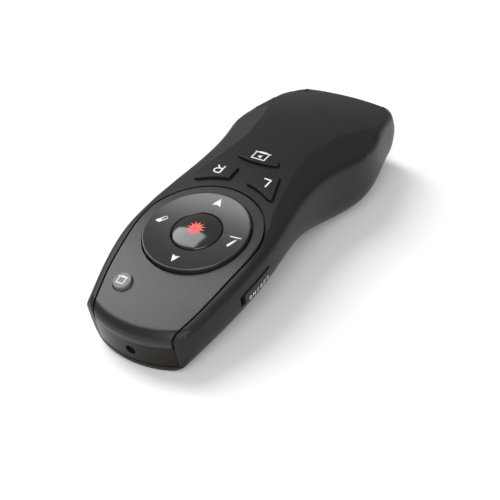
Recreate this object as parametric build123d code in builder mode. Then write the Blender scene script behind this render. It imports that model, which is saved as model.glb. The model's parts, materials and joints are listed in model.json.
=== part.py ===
from build123d import *
from math import cos, hypot, pi, radians, sin, sqrt, tan
import os

# Wireless presentation clicker. Sizes are in millimetres.
#
# Two frames are used. The table frame has its origin under the middle of the clicker, with Z up
# and the nose (the laser end) towards -Y. The deck frame follows the tilted button deck: its
# origin is the centre of the navigation ring on the ring's top edge, X to the right, Y towards
# the tail, Z out of the deck. Heights, depths and places are in the deck frame unless the
# heading says "table frame".

# ---------------------------------------------------------------- stance
nose_dip = 10.0  # how far the deck leans down towards the nose when the clicker lies on a table
deck_origin_y = -25.72
deck_origin_z = 21.86

# ---------------------------------------------------------------- body outline, seen from above
nose_reach = 33.1  # ring centre to the middle of the nose face
nose_setback = 3.7  # how far the nose corners lie behind the middle of the nose
nose_half_width = 14.05
bust_place = 0.5  # widest place beside the ring
bust_half_width = 19.15
waist_place = 29.5
waist_half_width = 16.65
hip_place = 50.8
hip_half_width = 21.1
tail_reach = 79.2  # ring centre to the middle of the tail edge
tail_setback = 1.3
tail_half_width = 14.9
hip_flare = 1.8  # power of the flare from waist to hip
tail_taper = 1.25  # power of the taper from hip to tail

# ---------------------------------------------------------------- body profile, seen from the side
deck_drop = 0.85  # deck surface below the ring's top edge
nose_drop = 2.75  # further fall of the deck at the nose
nose_drop_power = 2.2
droop_start = 16.0  # where the back starts to fall towards the tail
tail_drop = 15.1
droop_power = 1.85
nose_depth = 17.0  # underside below the ring's top edge, at the nose
arch_place = 6.0
arch_depth = 15.6  # at the finger arch
hip_floor_place = 52.0
hip_depth = 31.3
tail_depth = 33.0
arch_power = 1.5

# ---------------------------------------------------------------- body cross-section
ring_crown = 0.0009  # crown of the deck beside the ring, as fall per square millimetre
full_crown = 0.0036
crown_reach = 24.0
facet_angle = 19.5  # cross fall of the two scooped thumb facets
plain_angle = 5.5  # cross fall of the shoulder strip where there is no facet
facet_waist = 10.3  # half width of the spine between the facets at its narrowest
facet_waist_place = 39.3
facet_front_half = 18.7
facet_rear_half = 18.2
facet_rear_place = 65.3
facet_power = 1.5
facet_rear_power = 1.8
facet_lead = 16.0  # length over which a facet fades in
least_strip = 2.6  # narrowest shoulder strip
shoulder_round = 1.2
shoulder_depth = 3.8  # shoulder edge down to the widest line
bulge = 0.9
knee = 0.45  # share of the shoulder's depth at which the flank turns outwards
roundness = 0.82  # fullness of the underside, 0.55 is an ellipse
smoothing = 5.0  # the widest line is the outline averaged over this distance each way
search_step = 0.0001  # how closely the underside's height is worked out
nose_round = 2.6
floor_round = 2.0
tail_edge_round = 0.8
nose_step = 2.0  # the nose edge starts to round this far behind the nose face
tail_floor_round = 4.5
rib_pitch = 8.0  # spacing of the guide sections
overrun = 7.0  # the guide sections run past the nose and the tail by at least this much
nose_arc = 100  # angle that the rounded nose edge is swept through
tail_arc = 30

# ---------------------------------------------------------------- shells
wall = 1.6
core_inset = 1.2  # ribs and posts start this deep inside the outer surface
panel_thickness = 1.3
floor_thickness = 1.2  # top shell under the control panel
seam = 0.12
panel_seam = 0.55  # open joint around the control panel
nose_parting = 2.7  # parting line above the underside, at the nose
hip_parting = 4.2  # the same at the hip
panel_arc = 16.95  # radius of the panel's edge around the ring
panel_lean = 0.28  # inward lean of the panel's sides where they meet the nose
panel_sides = [(16.2, -8.0), (14.1, -20.9), (11.35, -30.9), (10.3, -34.6)]
panel_lip = 7.35  # depth of the panel's lip on the nose face
nose_cut = 7.2  # depth of the openings cut into the nose face
panel_ledge = 1.2  # how far the top shell's floor laps under the panel's edge
window_half = 11.9
window_floor = 13.9
window_thickness = 1.5
window_corner = 0.5

# ---------------------------------------------------------------- navigation ring and its cradle
ring_radius = 14.0
ring_bore = 6.75
ring_gap = 0.35  # running gap around the ring
ring_dish = 0.5  # fall of the ring's face from its outer to its inner edge
ring_edge = 0.3
ring_plate = 1.5
ring_rim = 1.4
flange_radius = 15.0
flange_top = 3.65
flange_thickness = 0.7
pivot_depth = 3.7
cradle_inner = 8.4
cradle_outer = 9.8
cradle_thickness = 1.2
hub_gap = 0.3
hub_wall = 1.2
hub_reach = 0.8  # how far the hub reaches below the pivot
pin_radius = 0.55
pin_gap = 0.05
pin_reach = 0.95
overcut = 0.1  # cuts for the pins run past their walls by this much
skirt_gap = 0.4
skirt_wall = 1.3
skirt_depth = 4.5
nub_place = 11.95
nub_radius = 0.8
nub_gap = 0.65

# ---------------------------------------------------------------- keys
press_gap = 0.6  # a resting key's stem to its contact dome
button_gap = 0.3  # centre button to ring
button_crown = 1.15  # rise of the button's domed face
button_edge_drop = 0.45
button_cap = 1.0
button_skirt_wall = 1.0
button_skirt_depth = 3.9
collar_gap = 0.12
collar_wall = 1.1
collar_top = 2.5
stem_radius = 1.2
key_proud = 0.9
key_gap = 0.22
key_round = 0.35
key_inner_arc = 20.2
key_inner_x = 2.7
key_outer_x = 12.45
key_far_x = 9.25
key_inner_far_y = 25.05
key_outer_far_y = 26.1
key_corner = 0.7
key_lap = 0.7  # flange beyond the key's outline, all round
key_flange_thickness = 0.55
key_flange_top = 3.55
key_stem_x = 6.9
key_stem_y = 22.0
screen_key_half = 6.6
screen_key_front = 28.75
screen_key_side = 29.95
screen_key_back = 34.0
screen_flange_top = 4.2
screen_stem_y = 31.2
tab_key_x = -8.55
tab_key_y = -21.15
tab_key_radius = 2.5
tab_flange_top = 4.15

# ---------------------------------------------------------------- power slide switch
slot_nose_y = -11.4
slot_tail_y = 1.2
slot_top = 5.7
slot_floor = 9.3
slot_corner = 0.6
knob_travel = 1.3
knob_gap = 0.14
knob_proud = 0.35
knob_lap = 0.5  # the knob's inner plate beyond the slot
knob_plate_face = 15.9
knob_plate_thickness = 0.6
switch_length = 8.6
switch_depth = 3.4
switch_height = 2.2
switch_gap = 0.2  # the switch's front to the knob's plate
switch_y = -4.45
lever_length = 1.4
lever_height = 1.0
lever_sink = 0.8
lever_gap = 0.08

# ---------------------------------------------------------------- circuit board
board_top = 5.8
board_thickness = 1.0
board_half_width = 12.6
board_nose_y = -27.0
board_tail_y = 35.6
board_corner = 2.0
board_gap = 0.3  # the board's edge to the knob's plate
board_wide_reach = 14.0
dome_radius = 2.0
dome_height = 0.35
dome_round = 0.2
control_chip_size = 5.0
radio_chip_size = 4.0
chip_height = 0.9
crystal_length = 5.0
crystal_width = 3.2
capacitor_radius = 2.0
capacitor_height = 4.2
small_part_length = 1.6
small_part_width = 0.8
small_part_height = 0.5
small_part_pitch = 2.6
antenna_length = 8.0
antenna_width = 2.0
control_chip_y = -5.0
radio_chip_y = 22.0
antenna_y = 30.0
crystal_place = (6.5, 20.0)
capacitor_places = [(6.5, 8.0), (-6.5, 16.0)]
small_part_x = -8.0

# ---------------------------------------------------------------- laser
laser_depth = 10.6
laser_hole = 1.4
barrel_radius = 3.0
barrel_bore = 2.1
barrel_length = 11.0
barrel_front = 31.2
lens_thickness = 1.2
lens_set_back = 0.6
diode_length = 3.4
diode_gap = 0.02
lead_radius = 0.25
lead_spacing = 1.1
lead_rise = 2.2
saddle_gap = 0.05
saddle_thickness = 1.4
saddle_half_width = 4.6

# ---------------------------------------------------------------- batteries, table frame
cell_radius = 5.25
cell_length = 44.5
cell_pitch = 10.8
cell_height = 13.2  # axis above the table
sleeve_wall = 0.2
sleeve_lap = 0.4  # bare can at each end of the sleeve
nub_length = 0.9
terminal_radius = 1.9
bay_nose_y = 5.75
contact_thickness = 0.35
contact_width = 8.4
contact_height = 8.4
contact_corner = 0.5
spring_length = 2.2
spring_wire = 0.28
spring_turns = 3
spring_wide = 3.4
spring_taper = 5  # lean of the coils in degrees
bay_gap = 0.35
bulkhead_thickness = 1.2
bulkhead_half_width = 10.9
bulkhead_top = 17.0
bulkhead_foot = 6.2  # the rear bulkhead starts this high above the table
saddle_ribs = [16.0, 30.0, 44.0]
saddle_rib_floor = 15.0

# ---------------------------------------------------------------- battery door, table frame
door_half_width = 11.2
door_nose_y = 10.0
door_corner = 3.0
door_gap = 0.15
rib_thickness = 1.0
door_ribs = [13.5, 40.5, 48.0]
door_rib_top = 9.4

# ---------------------------------------------------------------- stowed USB receiver, table frame
plug_width = 12.0
plug_height = 4.4
plug_length = 12.0
plug_wall = 0.35
plug_corner = 0.4
tongue_board = 1.9
grip_width = 14.4
grip_height = 4.8
grip_length = 7.0
grip_round = 0.8
receiver_nose_y = 17.5
receiver_height = 4.85  # middle of the receiver above the table
receiver_gap = 0.12
pocket_wall = 1.0
pocket_top = 5.6

# ---------------------------------------------------------------- fasteners
boss_radius = 2.3
rear_boss_radius = 2.0
screw_radius = 0.9
screw_hole = 1.05
thread_gap = 0.02
screw_head_radius = 1.7
screw_head_height = 1.1
head_gap = 0.15
head_sink = 0.5  # screw heads sit this far inside the underside
screw_bite = 2.0
thread_runout = 0.4
nose_boss = (10.5, -15.2)
tail_boss = (14.0, 11.6)
rear_boss = (13.9, 44.0)
rear_joint_depth = 24.0

os.makedirs("parts", exist_ok=True)

# ---------------------------------------------------------------- sizes that follow
dip = radians(nose_dip)
deck = Plane(
    origin=(0, deck_origin_y, deck_origin_z),
    x_dir=(1, 0, 0),
    z_dir=(0, -sin(dip), cos(dip)),
)
table = Plane.XY
nose_corner = nose_setback - nose_reach
tail_corner = tail_reach - tail_setback
nose_sweep = (nose_half_width**2 + nose_setback**2) / (2 * nose_setback)
tail_sweep = (tail_half_width**2 + tail_setback**2) / (2 * tail_setback)
board_under = board_top + board_thickness
plate_back = knob_plate_face - knob_plate_thickness
switch_face = plate_back - switch_gap
board_wide_half = plate_back - board_gap
dome_top = board_top - dome_height
stem_depth = dome_top - press_gap
button_radius = ring_bore - button_gap
button_face = button_radius - ring_edge
button_sweep = (button_face**2 + button_crown**2) / (2 * button_crown)
collar_bore = button_radius + collar_gap
collar_outer = collar_bore + collar_wall
hub_inner = cradle_outer + hub_gap
hub_outer = hub_inner + hub_wall
well_radius = flange_radius + skirt_gap
bay_tail_y = bay_nose_y + cell_length + spring_length
receiver_tail_y = receiver_nose_y + plug_length + grip_length
key_places = [(0, 0), (nub_place, 0), (0, nub_place), (-nub_place, 0), (0, -nub_place)]
key_places += [(key_stem_x, key_stem_y), (-key_stem_x, key_stem_y)]
key_places += [(0, screen_stem_y), (tab_key_x, tab_key_y)]
boss_places = [(side * spot[0], spot[1]) for spot in (nose_boss, tail_boss) for side in (1, -1)]
rear_places = [(side * rear_boss[0], rear_boss[1]) for side in (1, -1)]


def clamp(t):
    return max(0.0, min(1.0, t))


def ease(t):
    return (1 - cos(pi * clamp(t))) / 2


def half_width(y):
    """Half the width of the deck outline at the place y along the body."""
    if y < bust_place:
        quarter = pi / 2 / (bust_place - nose_corner)
        spread = bust_half_width - nose_half_width
        if y < nose_corner:
            return nose_half_width + spread * quarter * (y - nose_corner)
        return nose_half_width + spread * sin(quarter * (y - nose_corner))
    if y < waist_place:
        spread = bust_half_width - waist_half_width
        return bust_half_width - spread * ease((y - bust_place) / (waist_place - bust_place))
    if y < hip_place:
        spread = hip_half_width - waist_half_width
        reach = (y - waist_place) / (hip_place - waist_place)
        return waist_half_width + spread * reach**hip_flare
    spread = hip_half_width - tail_half_width
    reach = (y - hip_place) / (tail_corner - hip_place)
    return hip_half_width - spread * reach**tail_taper


def deck_height(y):
    """Height of the middle of the deck."""
    if y < 0:
        return -deck_drop - nose_drop * (-y / nose_reach) ** nose_drop_power
    droop = max(0.0, y - droop_start) / (tail_reach - droop_start)
    return -deck_drop - tail_drop * droop**droop_power


def crown(y):
    return ring_crown + (full_crown - ring_crown) * clamp(abs(y) / crown_reach) ** 2


def facet_edge(y):
    """Half the width of the spine between the two thumb facets."""
    if y < facet_waist_place:
        reach = (facet_waist_place - y) / facet_waist_place
        return facet_waist + (facet_front_half - facet_waist) * reach**facet_power
    reach = (y - facet_waist_place) / (facet_rear_place - facet_waist_place)
    return facet_waist + (facet_rear_half - facet_waist) * reach**facet_rear_power


def facet_slope(y):
    lead = ease((y + facet_lead / 2) / facet_lead)
    fade = ease((facet_rear_place - y) / (facet_lead / 2))
    return tan(radians(plain_angle + (facet_angle - plain_angle) * min(lead, fade)))


def floor_height(y):
    """Height of the middle of the underside."""
    if y < arch_place:
        reach = (arch_place - y) / (arch_place + nose_reach)
        return -arch_depth - (nose_depth - arch_depth) * reach**arch_power
    if y < hip_floor_place:
        reach = (y - arch_place) / (hip_floor_place - arch_place)
        return -arch_depth - (hip_depth - arch_depth) * ease(reach)
    reach = (y - hip_floor_place) / (tail_reach - hip_floor_place)
    return -hip_depth - (tail_depth - hip_depth) * reach


def parting_height(y):
    rise = nose_parting + (hip_parting - nose_parting) * ease(y / hip_floor_place)
    return floor_height(y) + rise


def across(y):
    """Plane across the body at the place y: its own y axis is the deck's height."""
    spot = deck.from_local_coords(Vector(0, y, 0))
    return Plane(origin=spot, x_dir=(1, 0, 0), z_dir=-deck.y_dir)


def along(x):
    """Plane along the body at the place x: its own axes are the deck's y and height."""
    spot = deck.from_local_coords(Vector(x, 0, 0))
    return Plane(origin=spot, x_dir=deck.y_dir, z_dir=(1, 0, 0))


def shoulder(y, inset):
    """Half width and height of the facet's inner edge, then of the shoulder edge."""
    half = half_width(y) - inset
    facet = min(facet_edge(y), half - least_strip)
    facet_top = deck_height(y) - inset - crown(y) * facet**2
    return facet, facet_top, half, facet_top - (half - facet) * facet_slope(y)


def belly_half(y):
    """Half the width of the body at its widest line."""
    return (half_width(y - smoothing) + half_width(y) + half_width(y + smoothing)) / 3 + bulge


def underside(x, y):
    """Height of the underside at the distance x from the middle."""
    belly = belly_half(y)
    belly_top = shoulder(y, 0)[3] - shoulder_depth
    low = floor_height(y)
    near, far = 0.0, 1.0
    while far - near > search_step:
        t = (near + far) / 2
        if belly * ((1 - t) ** 3 + 3 * (1 - t) ** 2 * t + 3 * (1 - t) * t**2 * roundness) > x:
            near = t
        else:
            far = t
    turned = belly_top - roundness * (belly_top - low)
    return (1 - t) ** 3 * belly_top + 3 * (1 - t) ** 2 * t * turned + (3 - 2 * t) * t**2 * low


def screw_seat(place):
    """Depth of a screw head's outer face, sunk into the underside."""
    return -underside(abs(place[0]) + screw_head_radius + head_gap, place[1]) - head_sink


def rib(y, inset):
    """Cross-section of the body at y, drawn in by the inset."""
    facet, facet_top, half, crease = shoulder(y, inset)
    top = deck_height(y) - inset
    slope = facet_slope(y)
    belly = belly_half(y) - inset
    belly_top = crease - shoulder_depth
    low = floor_height(y) + inset
    fall = roundness * (belly_top - low)
    turning = Vector(belly, crease - knee * shoulder_depth)
    corner = Vector(half, crease)
    start = corner + Vector(-1, slope).normalized() * shoulder_round
    finish = corner + (turning - corner).normalized() * shoulder_round
    with BuildLine(across(y)) as section:
        ThreePointArc((-facet, facet_top), (0, top), (facet, facet_top))
        for side in (1, -1):
            turn = (side * finish.X, finish.Y)
            widest = (side * belly, belly_top)
            Line((side * facet, facet_top), (side * start.X, start.Y))
            Bezier((side * start.X, start.Y), (side * corner.X, corner.Y), turn)
            Bezier(turn, (side * turning.X, turning.Y), widest)
            Bezier(widest, (side * belly, belly_top - fall), (side * roundness * belly, low), (0, low))
    return Face(Wire(section.edges()))


def beyond(centre, radius, towards, sweep, top, upper_round, low, lower_round):
    """All that lies beyond an arc-shaped end of the body, with the end's edges rounded."""
    turn = radians(-sweep / 2)
    out = deck.y_dir * towards
    start = out * cos(turn) + deck.z_dir.cross(out) * sin(turn)
    spot = deck.from_local_coords(Vector(0, centre, 0))
    far = radius + hip_depth
    with BuildPart() as cutter:
        with BuildSketch(Plane(origin=spot, x_dir=start, z_dir=start.cross(deck.z_dir))):
            with BuildLine():
                Polyline(
                    (radius, low + lower_round),
                    (radius, top - upper_round),
                )
                CenterArc((radius - upper_round, top - upper_round), upper_round, 0, 90)
                Polyline(
                    (radius - upper_round, top),
                    (radius - upper_round, top + hip_depth),
                    (far, top + hip_depth),
                    (far, low - hip_depth),
                    (radius - lower_round, low - hip_depth),
                    (radius - lower_round, low),
                )
                CenterArc((radius - lower_round, low + lower_round), lower_round, -90, 90)
            make_face()
        revolve(axis=Axis(spot, deck.z_dir), revolution_arc=sweep)
    return cutter.part


def form(inset):
    """The whole body as one solid, drawn in by the inset all round."""
    first = hip_place - rib_pitch * int((hip_place + nose_reach + overrun) / rib_pitch)
    count = int((tail_reach + overrun - first) / rib_pitch) + 1
    ease_off = 1 - inset / nose_round / 2
    with BuildPart() as body:
        loft(sections=[rib(first + rib_pitch * step, inset) for step in range(count)])
        add(
            beyond(
                nose_sweep - nose_reach,
                nose_sweep - inset,
                -1,
                nose_arc,
                deck_height(nose_step - nose_reach) - inset,
                nose_round * ease_off,
                inset - nose_depth,
                floor_round * ease_off,
            ),
            mode=Mode.SUBTRACT,
        )
        add(
            beyond(
                tail_reach - tail_sweep,
                tail_sweep - inset,
                1,
                tail_arc,
                deck_height(tail_reach) - inset,
                tail_edge_round,
                inset - tail_depth,
                tail_floor_round * ease_off,
            ),
            mode=Mode.SUBTRACT,
        )
    return body.part


def panel_outline(grow):
    """Outline of the control panel seen from above, run out past the nose."""
    corners = [(x + grow, y) for x, y in panel_sides]
    nose_side, nose_end = corners[-1]
    with BuildSketch() as outline:
        with BuildLine():
            ThreePointArc((panel_arc + grow, 0), (0, panel_arc + grow), (-panel_arc - grow, 0))
            for side in (1, -1):
                Spline(
                    (side * (panel_arc + grow), 0),
                    *[(side * x, y) for x, y in corners],
                    tangents=[(0, -1), (-side * panel_lean, -1)],
                )
            Line((nose_side, nose_end), (-nose_side, nose_end))
        make_face()
    return outline.sketch


def side_key_outline(side, grow):
    """Outline of the left or right key, its edge towards the ring being an arc about the ring."""
    inner_near = (side * key_inner_x, sqrt(key_inner_arc**2 - key_inner_x**2))
    outer_near = (side * key_outer_x, sqrt(key_inner_arc**2 - key_outer_x**2))
    chord = (inner_near[0] + outer_near[0], inner_near[1] + outer_near[1])
    reach = key_inner_arc / hypot(*chord)
    with BuildSketch() as outline:
        with BuildLine():
            ThreePointArc(inner_near, (chord[0] * reach, chord[1] * reach), outer_near)
            Polyline(
                outer_near,
                (side * key_far_x, key_outer_far_y),
                (side * key_inner_x, key_inner_far_y),
                inner_near,
            )
        make_face()
        fillet(outline.vertices(), radius=key_corner)
        if grow:
            offset(amount=grow, mode=Mode.REPLACE)
    return outline.sketch


def screen_key_outline(grow):
    with BuildSketch() as outline:
        with BuildLine():
            for middle in (screen_key_front - grow, screen_key_back + grow):
                ThreePointArc(
                    (screen_key_half + grow, screen_key_side),
                    (0, middle),
                    (-screen_key_half - grow, screen_key_side),
                )
        make_face()
        fillet(outline.vertices(), radius=key_corner + grow)
    return outline.sketch


def tab_key_outline(grow):
    with BuildSketch() as outline:
        with Locations((tab_key_x, tab_key_y)):
            Circle(tab_key_radius + grow)
    return outline.sketch


def upright(outline, top, bottom):
    """An outline stood along the deck's upright, between two heights."""
    with BuildPart() as block:
        with BuildSketch(deck.offset(bottom)):
            add(outline)
        extrude(amount=top - bottom)
    return block.part


def pillars(radius, places, top, bottom):
    """Round pillars along the deck's upright, between two heights."""
    with BuildPart() as posts:
        with BuildSketch(deck.offset(bottom)):
            with Locations(*places):
                Circle(radius)
        extrude(amount=top - bottom)
    return posts.part


def key_shape(outline, lapped, skin, place, flange_top):
    """A key: a block cut to the proud skin, a flange under the shell and a stem for the dome."""
    with BuildPart() as key:
        add(upright(outline, 2, -flange_top))
        add(skin, mode=Mode.INTERSECT)
        crest = key.faces().filter_by(lambda face: face.normal_at().dot(deck.z_dir) > 0.8)
        fillet(crest.edges(), radius=key_round)
        add(upright(lapped, -flange_top, -flange_top - key_flange_thickness))
        add(pillars(stem_radius, [place], -flange_top, -stem_depth))
    return key.part


def table_box(span, near, far, low, high):
    """A block between two heights above the table; span is its middle and its width along X."""
    with BuildPart() as block:
        with BuildSketch(table.offset(low)):
            with Locations((span[0], (near + far) / 2)):
                Rectangle(span[1], far - near)
        extrude(amount=high - low)
    return block.part


# ---------------------------------------------------------------- guide solids
outer = form(0)
inner = form(wall)
under_panel = form(panel_thickness)
under_floor = form(panel_thickness + floor_thickness)
core = form(core_inset)
proud = form(-key_proud)
below_table = table_box((0, 4 * tail_reach), -2 * tail_reach, 2 * tail_reach, -tail_depth, 0)

with BuildPart() as skin:
    add(outer)
    add(inner, mode=Mode.SUBTRACT)

with BuildPart() as below_parting:
    stations = [rib_pitch * step - nose_reach - overrun for step in range(26)]
    edge = [(y, parting_height(y)) for y in stations]
    with BuildSketch(along(0)):
        with BuildLine():
            Spline(*edge)
            Polyline(edge[-1], (stations[-1], -2 * tail_depth), (stations[0], -2 * tail_depth), edge[0])
        make_face()
    extrude(amount=2 * hip_half_width, both=True)

with BuildPart() as above_parting:
    with BuildSketch(along(0)):
        with BuildLine():
            Spline(*[(y, z - seam) for y, z in edge])
            Polyline(
                (edge[-1][0], edge[-1][1] - seam),
                (stations[-1], tail_depth),
                (stations[0], tail_depth),
                (edge[0][0], edge[0][1] - seam),
            )
        make_face()
    extrude(amount=2 * hip_half_width, both=True)

with BuildPart() as door_space:
    with BuildSketch(table.offset(-1)) as door_plan:
        with Locations((0, door_nose_y + tail_reach)):
            Rectangle(2 * door_half_width, 2 * tail_reach)
        fillet(door_plan.vertices().group_by(Axis.Y)[0], radius=door_corner)
    extrude(amount=tail_depth)

with BuildPart() as door_block:
    with BuildSketch(table.offset(-1)) as door_outline:
        with Locations((0, door_nose_y + door_gap + tail_reach)):
            Rectangle(2 * (door_half_width - door_gap), 2 * tail_reach)
        fillet(door_outline.vertices().group_by(Axis.Y)[0], radius=door_corner - door_gap)
    extrude(amount=tail_depth)

with BuildPart() as cell_room:
    with BuildSketch(Plane.XZ.offset(-bay_nose_y)):
        with Locations((-cell_pitch / 2, cell_height), (cell_pitch / 2, cell_height)):
            Circle(cell_radius + bay_gap)
    extrude(amount=bay_nose_y - bay_tail_y)

# ---------------------------------------------------------------- top shell
with BuildPart() as panel_pocket:
    add(upright(panel_outline(panel_seam), tail_depth, -panel_lip - seam))
    add(under_panel, mode=Mode.SUBTRACT)

with BuildPart() as panel_floor:
    add(upright(panel_outline(panel_ledge), tail_depth, -panel_lip))
    add(under_panel, mode=Mode.INTERSECT)
    add(under_floor, mode=Mode.SUBTRACT)
    add(upright(panel_outline(0), -deck_drop - nose_drop - wall, -tail_depth), mode=Mode.SUBTRACT)

with BuildPart() as top_fittings:
    for place in boss_places:
        add(pillars(boss_radius, [place], 0, -board_top))
    add(pillars(rear_boss_radius, rear_places, 0, -rear_joint_depth))
    add(pillars(well_radius + skirt_wall, [(0, 0)], -deck_drop - panel_thickness, -skirt_depth))
    for rib_y in saddle_ribs:
        add(
            table_box(
                (0, 2 * hip_half_width),
                rib_y - rib_thickness / 2,
                rib_y + rib_thickness / 2,
                saddle_rib_floor,
                tail_depth,
            )
        )
    tail_block = bay_tail_y + contact_thickness
    add(table_box((0, 2 * bulkhead_half_width), tail_block, tail_reach, bulkhead_foot, tail_depth))
    add(core, mode=Mode.INTERSECT)
    add(pillars(well_radius, [(0, 0)], 0, -2 * skirt_depth), mode=Mode.SUBTRACT)
    add(cell_room.part, mode=Mode.SUBTRACT)
    add(below_parting.part, mode=Mode.SUBTRACT)

with BuildPart() as slot_space:
    with BuildSketch(along(wall + bust_half_width / 2)):
        with Locations(((slot_nose_y + slot_tail_y) / 2, -(slot_top + slot_floor) / 2)):
            RectangleRounded(slot_tail_y - slot_nose_y, slot_floor - slot_top, slot_corner)
    extrude(amount=bust_half_width)

with BuildPart() as top_shell:
    add(skin.part)
    add(below_parting.part, mode=Mode.SUBTRACT)
    add(panel_floor.part)
    add(top_fittings.part)
    add(panel_pocket.part, mode=Mode.SUBTRACT)
    with BuildSketch(across(-nose_reach - 1)):
        with Locations((0, -(panel_lip + nose_depth + 1) / 2)):
            Rectangle(2 * window_half, nose_depth + 1 - panel_lip)
    extrude(amount=-nose_cut, mode=Mode.SUBTRACT)
    add(pillars(well_radius, [(0, 0)], 2, -skirt_depth - 1), mode=Mode.SUBTRACT)
    for side in (1, -1):
        add(upright(side_key_outline(side, key_gap), 2, -skirt_depth), mode=Mode.SUBTRACT)
    add(upright(screen_key_outline(key_gap), 2, -skirt_depth - 1), mode=Mode.SUBTRACT)
    add(upright(tab_key_outline(key_lap + key_gap), 2, -2 * skirt_depth), mode=Mode.SUBTRACT)
    add(slot_space.part, mode=Mode.SUBTRACT)
    screw_top = screw_bite + thread_runout
    for places, joint in ((boss_places, board_top), (rear_places, rear_joint_depth)):
        hole = pillars(screw_radius + thread_gap, places, screw_top - joint, -tail_depth)
        add(hole, mode=Mode.SUBTRACT)
    post_gap = boss_radius + 2 * seam
    add(pillars(post_gap, boss_places, -board_under, -nose_depth), mode=Mode.SUBTRACT)
    rear_gap = rear_boss_radius + 2 * seam
    add(pillars(rear_gap, rear_places, -rear_joint_depth, -hip_depth), mode=Mode.SUBTRACT)

top_shell.part.label = "top_shell"
export_step(top_shell.part, "parts/top_shell.step")

# ---------------------------------------------------------------- control panel and nose window
with BuildPart() as control_panel:
    add(upright(panel_outline(0), tail_depth, -panel_lip))
    add(outer, mode=Mode.INTERSECT)
    add(under_panel, mode=Mode.SUBTRACT)
    add(pillars(ring_radius + ring_gap, [(0, 0)], 2, -skirt_depth), mode=Mode.SUBTRACT)
    add(upright(tab_key_outline(key_gap), 2, -panel_lip), mode=Mode.SUBTRACT)

control_panel.part.label = "control_panel"
export_step(control_panel.part, "parts/control_panel.step")

with BuildPart() as nose_window:
    with BuildSketch(across(-nose_reach - 1)):
        with Locations((0, -(panel_lip + seam + window_floor) / 2)):
            RectangleRounded(2 * (window_half - seam), window_floor - panel_lip - seam, window_corner)
    extrude(amount=-nose_cut)
    add(outer, mode=Mode.INTERSECT)
    add(form(window_thickness), mode=Mode.SUBTRACT)
    with BuildSketch(across(-nose_reach - 1)):
        with Locations((0, -laser_depth)):
            Circle(laser_hole)
    extrude(amount=-nose_cut, mode=Mode.SUBTRACT)

nose_window.part.label = "nose_window"
export_step(nose_window.part, "parts/nose_window.step")

# ---------------------------------------------------------------- bottom shell
barrel_axis = Plane(
    origin=deck.from_local_coords(Vector(0, -barrel_front, -laser_depth)),
    x_dir=(1, 0, 0),
    z_dir=-deck.y_dir,
)

with BuildPart() as bottom_fittings:
    add(pillars(boss_radius, boss_places, -board_under, -nose_depth))
    add(pillars(rear_boss_radius, rear_places, -rear_joint_depth, -tail_depth))
    for step in (1, 2):
        with BuildSketch(across(step * barrel_length / 3 - barrel_front)):
            with Locations((0, -laser_depth - nose_depth / 2)):
                Rectangle(2 * saddle_half_width, nose_depth)
        extrude(amount=saddle_thickness)
    add(
        table_box(
            (0, 2 * bulkhead_half_width),
            bay_nose_y - contact_thickness - bulkhead_thickness,
            bay_nose_y - contact_thickness,
            0,
            bulkhead_top,
        )
    )
    add(core, mode=Mode.INTERSECT)
    with BuildSketch(barrel_axis.offset(barrel_length)):
        Circle(barrel_radius + saddle_gap)
    extrude(amount=-3 * barrel_length, mode=Mode.SUBTRACT)

with BuildPart() as lower_skin:
    add(skin.part)
    add(above_parting.part, mode=Mode.SUBTRACT)
    add(below_table, mode=Mode.SUBTRACT)

with BuildPart() as bottom_shell:
    add(lower_skin.part)
    add(bottom_fittings.part)
    add(door_space.part, mode=Mode.SUBTRACT)
    add(pillars(screw_hole, boss_places + rear_places, 0, -2 * tail_depth), mode=Mode.SUBTRACT)

    for place in boss_places + rear_places:
        head_floor = screw_head_height - screw_seat(place)
        pocket_bore = pillars(screw_head_radius + head_gap, [place], head_floor, -2 * tail_depth)
        add(pocket_bore, mode=Mode.SUBTRACT)

bottom_shell.part.label = "bottom_shell"
export_step(bottom_shell.part, "parts/bottom_shell.step")

with BuildPart() as shell_screws:
    for places, joint in ((boss_places, board_top), (rear_places, rear_joint_depth)):
        for place in places:
            head = -screw_seat(place)
            add(pillars(screw_head_radius, [place], head + screw_head_height, head))
            add(pillars(screw_radius, [place], screw_bite - joint, head))

shell_screws.part.label = "shell_screws"
export_step(shell_screws.part, "parts/shell_screws.step")

# ---------------------------------------------------------------- battery door
with BuildPart() as door_fittings:
    for rib_y in door_ribs:
        rib_span = (0, 2 * (door_half_width - wall))
        add(table_box(rib_span, rib_y - rib_thickness / 2, rib_y + rib_thickness / 2, 0, door_rib_top))
    pocket = grip_width / 2 + receiver_gap
    for side in (1, -1):
        rail = (side * (pocket + pocket_wall / 2), pocket_wall)
        add(
            table_box(
                rail,
                receiver_nose_y - receiver_gap - pocket_wall,
                receiver_tail_y + receiver_gap + pocket_wall,
                0,
                pocket_top,
            )
        )
    stops = (receiver_nose_y - receiver_gap - pocket_wall, receiver_tail_y + receiver_gap)
    for stop in stops:
        add(table_box((0, 2 * pocket), stop, stop + pocket_wall, 0, pocket_top - 1))
    add(core, mode=Mode.INTERSECT)
    add(cell_room.part, mode=Mode.SUBTRACT)
    add(below_table, mode=Mode.SUBTRACT)

with BuildPart() as battery_door:
    add(lower_skin.part)
    add(door_block.part, mode=Mode.INTERSECT)
    add(door_fittings.part)

battery_door.part.label = "battery_door"
export_step(battery_door.part, "parts/battery_door.step")

# ---------------------------------------------------------------- navigation ring and its cradle
upright_section = along(0)
deck_axis = Axis(deck.origin, deck.z_dir)

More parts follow.
